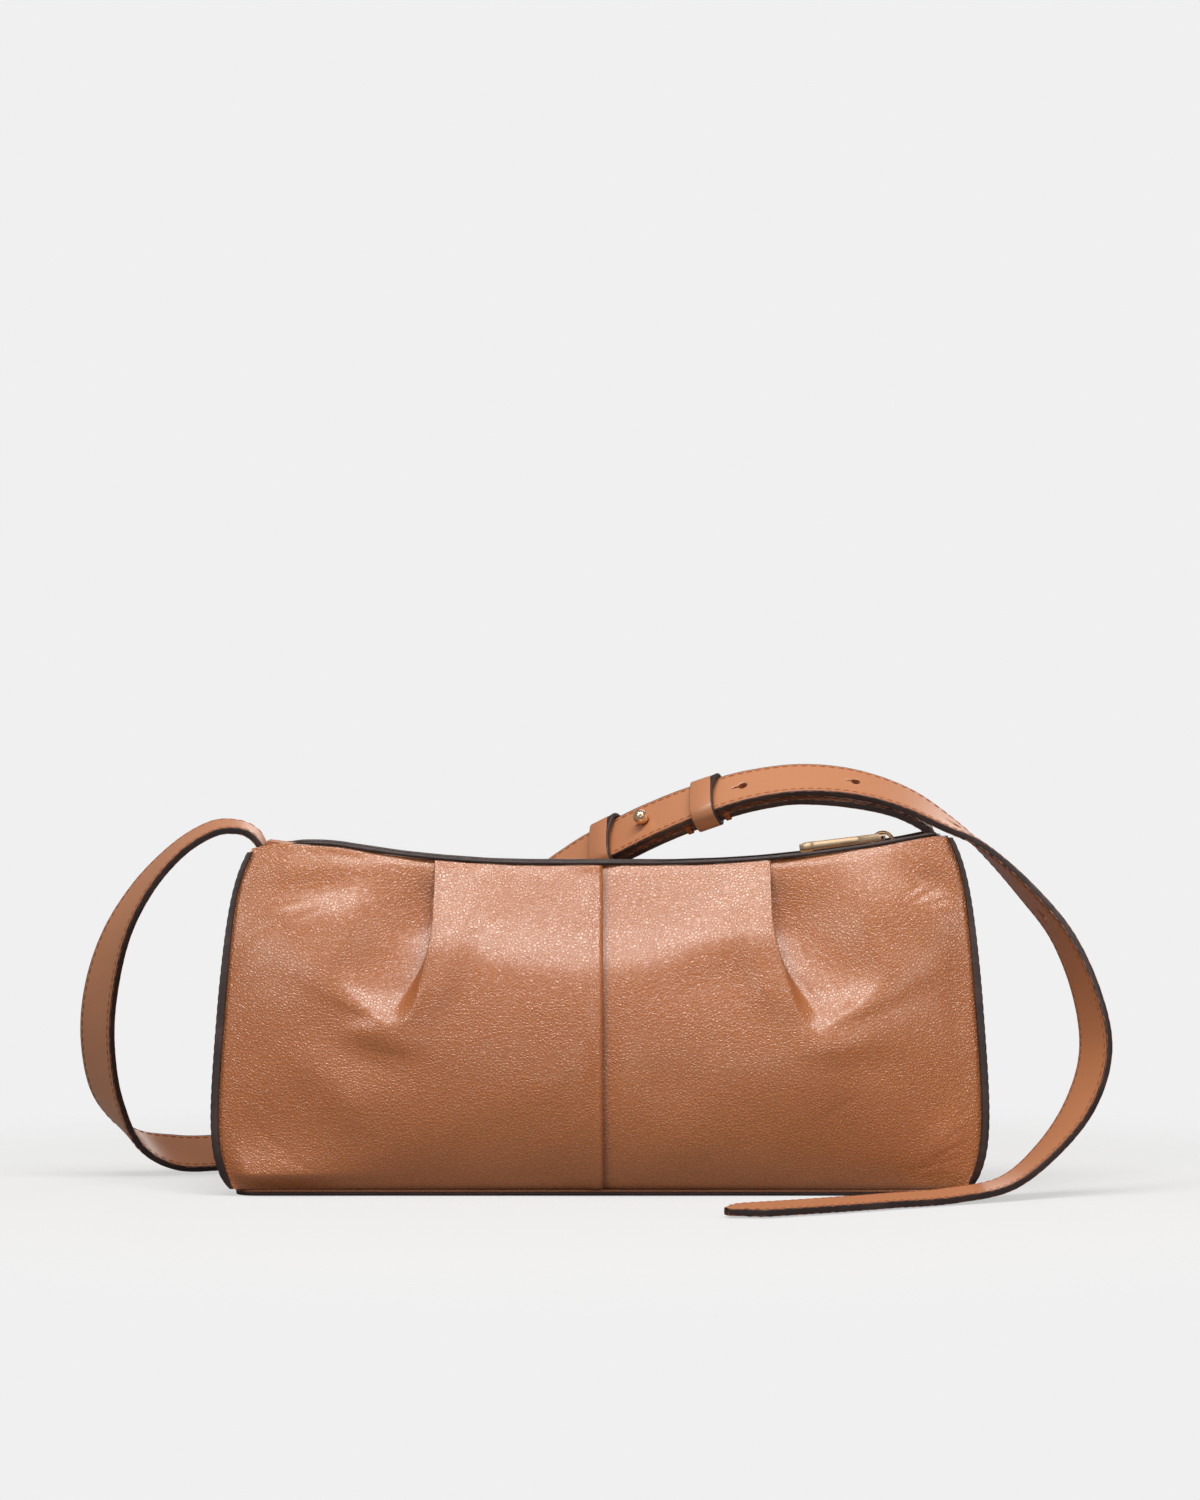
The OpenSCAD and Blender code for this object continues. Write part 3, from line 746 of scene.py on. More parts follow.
def make_panels():
    """The four quarters of the wall. The inner surface lies up to LEATHER mm in from the outer one, along
    its normals with their sideways part cut to 0.35 and their upward part left out."""
    for side, place in SIDES:
        for hand, where in HANDS:
            u = column_places(PANEL_COLUMNS, seam_start(hand, side)[1])
            v = row_places(PANEL_ROWS)
            # The quarter's shade is painted shade from its pleats, middle seam and foot, and goes to the
            # leather as its fold mark.
            outer, fold = quarter_shell(hand, side, u, v)
            normals = grid_normals(outer)
            normals = normals * np.sign((normals[..., 1:2] * side).mean())
            lean = np.array([0.35, 1.0, 0.0])
            inward = normals * lean
            inward[..., 1] = np.where(np.abs(inward[..., 1]) < 0.5, 0.5 * side, inward[..., 1])
            size = np.maximum(np.linalg.norm(inward, axis=-1, keepdims=True), 0.6)
            inner = outer - LEATHER * inward / size
            put_piece(f"leather_{place}_{where}", sheet_solid(outer, inner), PEBBLED,
                      [f"{place}_panel_{where}"], 60, marks={"fold": np.tile(fold.ravel(), 2)})


def make_gussets():
    q = np.linspace(-1, 1, 61)
    v = row_places(110)
    # Painted shade down the middle of each gusset, where it folds in, given to the leather as its fold
    # mark.
    fold = np.tile(0.5 * bell(q / 0.09)[:, None] * np.sin(np.pi * v) ** 0.5, (2, 1))
    for hand, where in HANDS:
        outer = gusset_surface(hand, q, v)
        put_piece(f"leather_gusset_{where}", sheet_solid(outer, outer - [hand * LEATHER, 0, 0]), PEBBLED,
                  [f"gusset_{where}"], 60, marks={"fold": fold})


SCALLOP_PITCH = 3.9


def make_side_seams():
    """Painted seam edges: a rounded bar up each corner, whose outer face is drawn in at every stitch."""
    v = np.linspace(0.0, 1.0, 380)
    for sy, hand, name in ((sy, hand, f"{place}_{where}") for sy, place in SIDES for hand, where in HANDS):
        x = seam_x(v)
        y = seam_y(v) + 0.1
        z = wall_z(hand * x, v)
        along = run_length(np.stack([hand * x, sy * y, z], -1))
        beat = np.abs(np.sin(np.pi * along / SCALLOP_PITCH)) ** 0.7
        ease = smooth(v / 0.03)
        narrow = 1 - 0.32 * smooth((v - 0.55) / 0.4)
        outline = rounded(1.55, 1.5, 0.7, 5)
        a = outline[:, 0] * narrow[:, None] * (0.5 + 0.5 * ease[:, None])
        a = a + np.where(outline[:, 0] > 0, 0.2 * beat[:, None] - 0.12, 0)
        b = outline[:, 1] * np.ones_like(v)[:, None] - 0.06 * beat[:, None] * np.sign(outline[:, 1])
        px = hand * (x[:, None] + 0.95 * narrow[:, None] + a)
        py = sy * (y[:, None] + 1.2 - 2.4 * (1 - smooth(v / 0.11))[:, None] + b)
        put_piece(f"painted_seam_{name}", swept(grid_of(px, py, z[:, None])), PAINT,
                  [f"side_seam_{name}"])


def make_bindings():
    """Painted rims: a flattened bar along each rim, a little uneven, tapering into the corners."""
    for side, place, x0, x1 in ((-1, "front", -121.0, 134.0), (1, "back", -127.0, 134.0)):
        x = np.linspace(x0, x1, 420)
        s = x / seam_x(1.0)
        y = plain_depth(s, 1.0) - LEATHER / 2
        z = rim_z(x) - BINDING_HALF_H
        ends = np.minimum(smooth((x - x0) / 9), smooth((x1 - x) / 5)) * 0.75 + 0.25
        wave = 0.06 * np.sin(x / 5.3) + 0.05 * np.sin(x / 2.9 + 1)
        outline = rounded(1.0, 1.0, 0.8, 5)
        yy = side * y[:, None] + outline[:, 0] * (BINDING_HALF_W + wave[:, None]) * ends[:, None]
        zz = z[:, None] + outline[:, 1] * (BINDING_HALF_H + 0.5 * wave[:, None]) * ends[:, None]
        put_piece(f"painted_rim_{place}", swept(grid_of(x[:, None], yy, zz)), PAINT,
                  [f"mouth_binding_{place}"])


BASE_HALF_W = 142.0
WELT_INSET = 0.9


def ring_path(half_x, half_y, radius, step=1.5):
    """A rounded rectangle in the XY plane, with its outward directions."""
    n = max(6, int(radius * np.pi / 2 / step))
    corners = rounded(half_x, half_y, radius, n)
    out, points = [], []
    t = np.linspace(0, np.pi / 2, n)
    for k in range(4):
        arc = corners[k * n:(k + 1) * n]
        nxt = corners[(k + 1) * n % len(corners)]
        gap = int(np.linalg.norm(nxt - arc[-1]) / (2.5 * step))
        fill = arc[-1] + (nxt - arc[-1]) * (np.arange(1, gap) / gap)[:, None]
        turn = t + k * np.pi / 2
        facing = np.stack([np.cos(turn), np.sin(turn)], -1)
        points += [arc, fill]
        out += [facing, np.tile(facing[-1], (len(fill), 1))]
    return np.concatenate(points), np.concatenate(out)


def make_base():
    """Base: dark painted foot edge with a thin rolled leather welt above it, and the base leather."""
    path, out = ring_path(BASE_HALF_W - WELT_INSET, HALF_D - WELT_INSET, 8)
    ripple = 0.05 * np.sin(np.arange(len(path)) * 0.9)[:, None]
    for name, finish, slot, middle, tall, reach in (
            ("base_edge_paint", PAINT, "edge_paint", 0.75, 0.75, 0.6),
            ("base_piping", PEBBLED, "leather", 1.95, 0.62, 0.95)):
        outline = rounded(reach, tall, 0.5, 4)
        xy = path[:, None, :] + out[:, None, :] * (outline[:, 0] * (1 + ripple))[..., None]
        z = np.broadcast_to(middle + outline[:, 1], xy.shape[:2])
        solid = swept(np.concatenate([xy, z[..., None]], -1), closed=True)
        # The fold mark at 0.75 is painted shade over the whole welt, under the overhanging belly; the edge
        # paint doesn't read it.
        put_piece(name, solid, finish, ["base_welt"], 60,
                  marks={"fold": np.full(len(solid[0]), 0.75)})
    inner, _ = ring_path(138.6, 38.9, 6)
    shares = np.array([0.02, 0.3, 0.6, 0.85, 0.97, 1.0])
    rings = [np.concatenate([inner * share, np.full((len(inner), 1), height)], -1)
             for height, order in ((0.02, shares), (1.55, shares[::-1])) for share in order]
    solid = swept(np.array(rings))
    put_piece("base_leather", solid, PEBBLED, ["base_panel"], 60,
              marks={"fold": np.zeros(len(solid[0]))})
    give_finish(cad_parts["base_board"], BOARD)


def give_finish(node, finish):
    node.data.materials.clear()
    node.data.materials.append(finish)


def put_cloth(name, outer, thickness, finish, node, crease=40):
    """A cloth from its outer grid and the way through it, with its own lengths for the weave."""
    put_piece(name, sheet_solid(outer, outer - thickness), finish, [node], crease,
              lengths=np.tile(grid_lengths(outer), (2, 1)))


def wall_cloth(side, reach, v, depth, name, node):
    """Cloth inside one wall: depth mm in from its plain shape, and farther near a pleat and where a dent
    or the shoulder draws the wall in."""
    s = np.linspace(-reach, reach, 161)[:, None]
    x = s * seam_x(v[None, :])
    z = wall_z(x, v[None, :])
    top = rim_z(x) - RIM_DROP
    dip = 0
    for hand, _ in HANDS:
        p = PLEAT[hand]
        w = hand * x - fold_x(z, p)
        near = [pleat_relief(w + d, z + e, top, p)[0] for d in (-4, -2, 0, 2, 4) for e in (-3, 0, 3)]
        dip = dip + np.maximum(0, np.max(near, 0)) * (hand * x > 0)
        dip = dip + np.maximum(0, -hills(RELIEF[hand], x, z)) * (hand * x > 0)
    dip = dip * np.clip(v / 0.1, 0, 1) + shoulder(x, s, v[None, :])
    y = plain_depth(s, v[None, :]) - dip - depth + 0.12 * slow_waves(x, 100 * v, 71 + side)
    put_cloth(name, grid_of(x, side * y, z), [0, side * LINING, 0], WEAVE, node)


def make_linings():
    """Lining walls, end linings, base lining and slip pocket: thin cloth inside the leather."""
    depth = LEATHER + LINING_GAP
    v = row_places(46)
    for side, place in SIDES:
        wall_cloth(side, 1 - 1 / 12, v, depth, f"cloth_{place}", f"lining_{place}")
    wall_cloth(1, 0.42, np.linspace(0.28, 0.78, 30), depth + LINING + LINING_GAP,
               "cloth_pocket", "slip_pocket")
    q = np.linspace(-1, 1, 31)
    vv = np.linspace(0, 13 / 14, 46)[None, :]
    for hand, where in HANDS:
        y = q[:, None] * (seam_y(vv) - depth - LINING - LINING_GAP)
        x = seam_x(vv) - GUSSET_FOLD * (1 - (y / seam_y(vv)) ** 2) * np.sin(np.pi * vv) - depth
        outer = grid_of(hand * x, y, wall_z(hand * seam_x(vv), vv))
        put_cloth(f"cloth_end_{where}", outer, [hand * LINING, 0, 0], WEAVE,
                  f"lining_{where}")
    a = np.linspace(-1, 1, 61)[:, None]
    b = np.linspace(-1, 1, 21)[None, :]
    x, y = a * 137.0, b * 37.5
    round_in = 1 - 0.03 * smooth((np.abs(b) - 0.8) / 0.2) + 0 * a
    z = 3.7 + LINING + 0.25 * np.cos(a * 9) * np.cos(b * 5) * (1 - a**8) * (1 - b**8)
    put_cloth("cloth_base", grid_of(x * round_in, y, z), [0, 0, LINING], WEAVE,
              "lining_base")


# ---------------------------------------------------------------- straps

# Middle line of the long strap in metres: out of the left end, round the left loop, behind the bag,
# over the mouth, down the right loop and along the floor to its pointed tail.
LONG_ROUTE = np.array([
    (-0.133, 0, 0.124), (-0.133, 0, 0.132), (-0.137, 0, 0.139), (-0.144, 0, 0.142), (-0.154, 0, 0.141),
    (-0.167, 0, 0.133), (-0.181, 0.002, 0.118), (-0.192, 0.005, 0.099), (-0.199, 0.011, 0.076),
    (-0.201, 0.018, 0.054), (-0.198, 0.028, 0.032), (-0.188, 0.038, 0.015), (-0.172, 0.046, 0.0084),
    (-0.151, 0.053, 0.008), (-0.124, 0.062, 0.0085), (-0.099, 0.065, 0.014), (-0.080, 0.066, 0.028),
    (-0.067, 0.064, 0.048), (-0.056, 0.059, 0.072), (-0.044, 0.050, 0.095), (-0.028, 0.043, 0.114),
    (-0.010, 0.034, 0.1275), (0.006, 0.025, 0.1365), (0.022, 0.016, 0.1445), (0.039, 0.008, 0.1515),
    (0.058, 0.003, 0.1575), (0.079, 0, 0.1605), (0.100, -0.002, 0.159), (0.120, -0.003, 0.153),
    (0.137, -0.004, 0.1435), (0.151, -0.006, 0.134), (0.167, -0.011, 0.118), (0.181, -0.018, 0.100),
    (0.190, -0.026, 0.078), (0.193, -0.033, 0.056), (0.187, -0.038, 0.036), (0.174, -0.043, 0.0185),
    (0.157, -0.052, 0.0062), (0.134, -0.066, 0.0027), (0.107, -0.0835, 0.0024), (0.080, -0.101, 0.0024),
    (0.047, -0.1195, 0.0024)]) / MM

# Direction of its width at each of those points, before it is squared to the route.
LONG_LEAN = np.array([
    (0, 1, 0), (0, 1, 0), (0, 1, 0.1), (-0.12, 1, 0.15), (-0.18, 1, 0.16), (-0.26, 1, 0.13),
    (-0.4, 0.9, 0.05), (-0.54, 0.85, 0), (-0.64, 0.77, 0), (-0.64, 0.77, -0.06), (-0.52, 0.84, -0.08),
    (-0.22, 0.93, 0.2), (0, 0.84, 0.52), (0, 0.84, 0.54), (0, 0.88, 0.47), (0, 0.95, 0.3), (0, 1, 0.1),
    (0, 1, 0), (-0.1, 1, 0.05), (-0.25, 0.95, 0.15), (-0.4, 0.88, 0.25), (-0.42, 0.85, 0.32),
    (-0.4, 0.83, 0.38), (-0.36, 0.83, 0.42), (-0.33, 0.83, 0.44), (-0.22, 0.84, 0.5), (-0.04, 0.85, 0.53),
    (0.1, 0.87, 0.48), (0.24, 0.91, 0.34), (0.2, 0.97, 0.15), (0.06, 0.99, -0.1), (-0.11, 0.97, -0.2),
    (-0.26, 0.96, -0.1), (-0.36, 0.93, -0.05), (-0.45, 0.89, -0.03), (-0.42, 0.9, 0.03),
    (-0.28, 0.96, 0.03), (-0.1, 0.99, 0.04), (0, 1, 0.05), (0.05, 1, 0.03), (0.08, 1, 0.03),
    (0.12, 1, 0.03)])

SHORT_FREE = np.array([
    (0.1326, 0, 0.128), (0.1326, 0, 0.136), (0.1285, 0, 0.1425), (0.116, 0, 0.1496),
    (0.098, 0, 0.1544)]) / MM
SHORT_FREE_LEAN = np.array([
    (0, 1, 0), (0, 1, 0.05), (0.05, 0.99, 0.1), (0.1, 0.97, 0.2), (0.05, 0.93, 0.35)])
BUTTONED = np.array([26, 25.4, 24.8, 24.2, 23.6, 23, 22.4, 21.8, 21.4])


def spline(p, t):
    """Smooth curve through the rows of p (Catmull-Rom); t counts the rows."""
    t = np.asarray(t, float)
    n = len(p) - 1
    i = np.minimum(np.floor(t).astype(int), n - 1)
    u = (t - i)[..., None]
    b, c = p[i], p[i + 1]
    a = np.where((i > 0)[..., None], p[np.maximum(i - 1, 0)], 2 * b - c)
    d = np.where((i + 2 <= n)[..., None], p[np.minimum(i + 2, n)], 2 * c - b)
    return 0.5 * (2 * b + (c - a) * u + (2 * a - 5 * b + 4 * c - d) * u**2 + (3 * b - a - 3 * c + d) * u**3)


class Strap:
    """A flat strap along a route: its frame at any place, and points laid on it by arc length,
    width and height above its middle."""

    def __init__(self, route, lean):
        self.route, self.lean = route, lean
        self.count = len(route) - 1
        t = np.linspace(0, self.count, 4001)
        self.t, self.arc = t, run_length(spline(route, t))
        self.length = self.arc[-1]

    def frame(self, t):
        t = np.asarray(t, float)
        ahead = spline(self.route, np.minimum(self.count, t + 0.05))
        way = unit(ahead - spline(self.route, np.maximum(0, t - 0.05)))
        w = spline(self.lean, t)
        wide = unit(w - (w * way).sum(-1, keepdims=True) * way)
        return spline(self.route, t), way, wide, np.cross(way, wide)

    def place(self, arc, across, up):
        """Points at arc mm along the strap, across mm from its middle and up mm above it."""
        middle, _, wide, normal = self.frame(np.interp(arc, self.arc, self.t))
        return middle + across[..., None] * wide + up[..., None] * normal

    def arc_at(self, t):
        return float(np.interp(t, self.t, self.arc))

    def steps(self, step):
        """Places every step mm along the strap, the last one at its end."""
        arcs = np.arange(0, self.length + step / 2, step)
        arcs[-1] = self.length
        return arcs


LONG = Strap(LONG_ROUTE, LONG_LEAN)
_under = LONG.frame(BUTTONED)
SHORT = Strap(np.concatenate([SHORT_FREE, _under[0] - STACK * _under[3]]),
              np.concatenate([SHORT_FREE_LEAN, _under[2]]))

EDGE_BEAD = 0.38
STITCH_PITCH = 3.55
STITCH_LENGTH = 2.55
STITCH_INSET = 1.75
HOLE_R = 1.8
SLIT = 5.0
SLIT_HALF = 0.42


def strap_half_width(strap, arc, tip):
    """Half width along the strap: full, then narrowing over the tip to a blunt end, with the share of
    the tip still ahead to the power 0.85."""
    share = np.clip((strap.length - arc) / tip, 0, 1)
    return 1.9 + (STRAP_HALF - 1.9) * np.minimum(1, share) ** 0.85


def face_height(across, half):
    """Height of a strap's face: flat, pressed down a little along the stitch lines, rounded to the edge."""
    inset = half - np.abs(across)
    return STRAP_T / 2 - 0.10 * bell((inset - STITCH_INSET) / 0.55) - 0.28 * bell(inset / 0.55)


def keyhole_outline(count):
    """A round hole with a slit toward the strap's start, as (along, across) pairs once round, from
    where one side of the slit meets the hole."""
    reach = np.sqrt(HOLE_R**2 - SLIT_HALF**2)
    open_ = np.arcsin(SLIT_HALF / HOLE_R)
    arc = np.linspace(-np.pi + open_, np.pi - open_, 37)
    ring = HOLE_R * np.stack([np.cos(arc), np.sin(arc)], -1)
    far = np.linspace(np.pi / 2, 1.5 * np.pi, 7)
    cap = np.stack([-SLIT + SLIT_HALF * np.cos(far), SLIT_HALF * np.sin(far)], -1)
    side = np.linspace(-reach, -SLIT, 8)[1:-1]
    back = np.linspace(-SLIT, -reach, 8)[1:-1]
    line = np.concatenate([ring, np.stack([side, np.full(6, SLIT_HALF)], -1), cap,
                           np.stack([back, np.full(6, -SLIT_HALF)], -1)])
    return evenly(line, count)


def make_strap_leather(strap, name, node, holes, tip, step, kinds=17):
    """The leather of a strap: a grid of rings along it, with a window cut at each hole. The window is
    filled by a fan of loops from its square border to the keyhole, and a wall joins both faces."""
    arcs = strap.steps(step)
    share = np.linspace(-1, 1, kinds)
    share = np.sign(share) * np.abs(share) ** 0.8
    half = strap_half_width(strap, arcs, tip)[:, None] - 0.12
    n = len(arcs)
    across = half * share
    up = face_height(across, half)
    face = strap.place(np.broadcast_to(arcs[:, None], across.shape), across, up)
    back = strap.place(np.broadcast_to(arcs[:, None], across.shape), across, -up)
    rings = np.concatenate([face, back[:, ::-1]], 1)
    m = rings.shape[1]
    points, faces = swept(rings)
    edge = np.concatenate([bell((np.abs(share) - 1) / 0.12), bell((np.abs(share[::-1]) - 1) / 0.12)])
    marks = np.concatenate([np.tile(edge, n), [0, 0]])
    keep = np.ones(len(faces), bool)
    quad_i, quad_j = np.divmod(np.arange((n - 1) * m), m)
    patches, first = [points], len(points)
    fill_faces, fill_marks = [], [marks]
    lo_j, hi_j = (kinds - 1) // 2 - 3, (kinds - 1) // 2 + 3
    for at in holes:
        here = strap.arc_at(at)
        lo, hi = int((here - SLIT - 2.4) / step), int((here + HOLE_R + 2.2) / step) + 1
        window = [(i, lo_j) for i in range(hi, lo, -1)] + [(lo, j) for j in range(lo_j, hi_j)]
        window += [(i, hi_j) for i in range(lo, hi)] + [(hi, j) for j in range(hi_j, lo_j, -1)]
        window = np.array(window)[::-1]
        border = np.stack([arcs[window[:, 0]] - here, across[window[:, 0], window[:, 1]]], -1)
        count = len(window)
        hole = keyhole_outline(4 * count)
        centre = np.array([-1.2, 0])
        turn_b = np.unwrap(np.arctan2(border[:, 1], border[:, 0] - centre[0]))
        turn_h = np.unwrap(np.arctan2(hole[:, 1], hole[:, 0] - centre[0]))
        if turn_b[-1] < turn_b[0]:
            window, border = window[::-1], border[::-1]
            turn_b = turn_b[::-1]
        turn_b = turn_b - 2 * np.pi * np.round((turn_b[0] - turn_h[0]) / (2 * np.pi))
        turns = np.concatenate([turn_h - 2 * np.pi, turn_h, turn_h + 2 * np.pi])
        loop = np.stack([np.interp(turn_b, turns, np.tile(hole[:, k], 3)) for k in (0, 1)], -1)
        for flip in (1, -1):
            in_window = (quad_i >= lo) & (quad_i < hi)
            if flip > 0:
                in_window &= (quad_j >= lo_j) & (quad_j < hi_j)
            else:
                in_window &= (quad_j >= m - 1 - hi_j) & (quad_j < m - 1 - lo_j)
            keep[:len(quad_i)] &= ~in_window
        levels = np.array([0, 0.5, 0.85, 1.0])[:, None, None]
        flat = border[None] * (1 - levels) + loop[None] * levels
        drop = np.array([0, 0, 0.03, 0.22])[:, None] + 0 * flat[..., 0]
        top_h = face_height(flat[..., 1], STRAP_HALF - 0.12) - drop
        top = strap.place(flat[..., 0] + here, flat[..., 1], top_h)
        low = strap.place(flat[..., 0] + here, flat[..., 1], -top_h)
        tube = np.concatenate([top, low[::-1]])
        loops, size = tube.shape[:2]
        fill_faces.append(grid_faces(loops, size, round_v=True, first=first))
        patches.append(tube.reshape(-1, 3))
        fill_marks.append(np.repeat([0, 0, 0, 1, 1, 0, 0, 0], size))
        first += loops * size
    all_points = np.concatenate(patches)
    # The fan's quads turn the way that the strap's own faces do next to them.
    quads = [outward(points, faces)[keep]] + [face_same_way(all_points, f) for f in fill_faces]
    put_piece(name, (all_points, np.concatenate(quads)), SMOOTH, [node],
              marks={"edge": np.concatenate(fill_marks)}, turn=False, weld=True)


def face_same_way(points, faces):
    """Turns a tube through the strap so that its first ring of quads faces away from the strap."""
    a, b, c, d = (points[faces[:, k]] for k in range(4))
    normal = np.cross(c - a, d - b)
    middle = points[np.unique(faces)].mean(0)
    rows = len(faces) // 7
    lift = points[faces[:rows]].mean((0, 1)) - middle
    return faces if normal[:rows].sum(0) @ lift > 0 else faces[:, ::-1]


def make_strap_edges(strap, name, tip, step):
    """Painted edge of a strap: a rounded bead down one side, round the tip and back up the other."""
    arcs = strap.steps(step)
    half = strap_half_width(strap, arcs, tip)
    turn = np.linspace(-np.pi / 2, np.pi / 2, 9)
    bulge = EDGE_BEAD * np.cos(turn) ** 0.6
    height = (STRAP_T / 2 - 0.14) * np.sin(turn)
    line_a = np.concatenate([arcs, arcs[::-1]])
    line_w = np.concatenate([half, -half[::-1]])
    sign = np.sign(line_w)
    ripple = 0.04 * np.sin(line_a * 1.77) + 0.03 * np.sin(line_a * 0.83)
    outer_w = line_w[:, None] + sign[:, None] * (bulge - EDGE_BEAD + ripple[:, None])
    outer = strap.place(np.broadcast_to(line_a[:, None], outer_w.shape), outer_w, height + 0 * outer_w)
    inner_h = np.array([STRAP_T / 2 - 0.3, -STRAP_T / 2 + 0.3])
    inner_w = (line_w - sign * 1.1)[:, None] + 0 * inner_h
    inner = strap.place(np.broadcast_to(line_a[:, None], inner_w.shape), inner_w, inner_h + 0 * inner_w)
    put_piece(name, swept(np.concatenate([outer, inner], 1)), PAINT, crease=55)


def stitch_shape():
    """One stitch: a rounded lozenge, STITCH_LENGTH long, 0.8 mm wide, 30 quads and two ends."""
    along = np.array([-1, -0.82, -0.3, 0.3, 0.82, 1]) * STITCH_LENGTH / 2
    size = np.array([0.25, 0.72, 1, 1, 0.72, 0.25])
    turn = circle(6)
    across = size[:, None] * 0.4 * np.cos(turn)
    up = size[:, None] * 0.22 * np.sin(turn) + 0.06 * (size[:, None] - 1)
    rings = np.stack([along[:, None] + 0 * across, across, up], -1)
    points, faces = swept(rings)
    return points, outward(points, faces)


def make_stitches(strap, name, tip, start, stop):
    """Rows of stitches on both faces of a strap, near both edges, each laid along the strap's way."""
    shape, quads = stitch_shape()
    arcs = np.arange(start, stop, STITCH_PITCH)
    half = strap_half_width(strap, arcs, tip)
    arcs = arcs[half > 5]
    half = half[half > 5]
    rows = [(side, up) for side in (-1, 1) for up in (-1, 1)]
    arc = np.concatenate([arcs + (0.5 * STITCH_PITCH if up < 0 else 0) for side, up in rows])
    edge = np.concatenate([side * (half - STITCH_INSET) for side, up in rows])
    face = np.concatenate([up * np.ones_like(arcs) for side, up in rows])
    local_a = arc[:, None] + shape[:, 0]
    local_w = edge[:, None] + shape[:, 1]
    local_h = face[:, None] * (STRAP_T / 2 - 0.06 + shape[:, 2])
    points = strap.place(local_a, local_w, local_h)
    count, m = points.shape[:2]
    faces = quads[None] + (np.arange(count) * m)[:, None, None]
    faces = np.where(face[:, None, None] < 0, faces[..., ::-1], faces).reshape(-1, 4)
    put_piece(name, (points.reshape(-1, 3), faces), STITCH, crease=60, turn=False)


def make_straps():
    """Both straps, each with its holes, its tip as in strap_half_width, the step between its rings, and
    how far from its start and its end the stitching stays."""
    for strap, node, holes, tip, step, start, stop in (
            (LONG, "long_strap", KEYHOLES, 12.0, 1.7, 14.0, 4),
            (SHORT, "short_strap", (), 8.0, 1.5, 12.0, 3)):
        make_strap_leather(strap, f"{node}_leather", node, holes, tip, step)
        make_strap_edges(strap, f"{node}_edge", tip, step)
        make_stitches(strap, f"{node}_stitching", tip, start, strap.length - stop)


KEEPER_HALF = 5.0
KEEPER_T = 1.7


def make_keeper(t, play, name, node, body):
    """A leather loop round both straps: a band carried round a rounded rectangle, with painted sides."""
    middle, way, wide, normal = LONG.frame(t)
    middle = middle - STACK / 2 * normal
    half_w, half_h = STRAP_HALF + play, (STRAP_T + STACK) / 2 + play
    mid = rounded(half_w + KEEPER_T / 2, half_h + KEEPER_T / 2, 3.2, 11)
    path = evenly(mid, 120)
    path[:, 1] += 1.0 * np.maximum(0, 1 - (path[:, 0] / half_w) ** 2) ** 0.8 * (path[:, 1] > 0)
    swell = bell((path[:, 0] - half_w) / 6) * smooth((path[:, 1] + 3) / 4)
    out = away(path)

    def ring(profile, more=0):
        """profile rows are (along the strap, outward from the band's middle); more is how much farther
        along the strap the far end reaches where the loop stands off the strap's rear edge."""
        flat = path[:, None, :] + profile[None, :, 1:2] * out[:, None, :]
        along = profile[None, :, 0] + (profile[None, :, 0] > 0) * more * swell[:, None]
        return middle + along[..., None] * way + flat[..., 0:1] * wide + flat[..., 1:2] * normal

    band = rounded(KEEPER_HALF - 0.18, KEEPER_T / 2, 0.4, 3)
    edge = np.tile(bell((np.abs(band[:, 0]) - KEEPER_HALF) / 0.7), len(path))
    put_piece(f"{name}_leather", swept(ring(band, -0.9), closed=True), SMOOTH, [node],
              body=body, marks={"edge": edge})
    beads = []
    for end in (-1, 1):
        turn = np.linspace(-np.pi / 2, np.pi / 2, 7)
        reach = KEEPER_HALF - 0.4 + (0.5 if end > 0 else 0.3) * np.cos(turn) ** 0.6
        bead = np.stack([end * reach, (KEEPER_T / 2 + (0.04 if end > 0 else -0.12)) * np.sin(turn)], -1)
        core = np.array([(end * (KEEPER_HALF - 2.0), 0.5), (end * (KEEPER_HALF - 2.0), -0.5)])
        beads.append(swept(np.concatenate([ring(bead, 2.0), ring(core, -0.9)], 1), closed=True))
    put_piece(f"{name}_edge", joined(beads), PAINT, body=body)


def make_tacks():
    """Thread wraps on the short strap, before and after the fixed keeper: five turns side by side each."""
    parts = []
    for t in (FIXED_AT - 0.42, FIXED_AT + 0.4):
        middle, way, wide, normal = LONG.frame(t)
        middle = middle - STACK * normal
        loop = rounded(STRAP_HALF + 0.38, STRAP_T / 2 + 0.36, 0.8, 5)
        turn = circle(8)
        out = away(loop)
        for k in np.linspace(-0.85, 0.85, 5):
            a = k + 0.25 * np.cos(turn)
            o = 0.28 * np.sin(turn)
            flat = loop[:, None] + o[None, :, None] * out[:, None]
            rings = middle + a[None, :, None] * way + flat[..., :1] * wide + flat[..., 1:] * normal
            parts.append(swept(rings, closed=True))
    put_piece("keeper_tack_threads", joined(parts), STITCH, ["keeper_tacks"], 80)


def turned(profile, middle, axes):
    """A turned shape: profile rows are (radius, height) from pole to pole, carried round the axis."""
    profile = np.array(profile, float)
    turn = circle(40)
    a, b, up = axes
    ring = np.cos(turn)[:, None] * a + np.sin(turn)[:, None] * b
    rings = middle + profile[:, None, :1] * ring[None] + profile[:, None, 1:] * up
    return swept(rings)


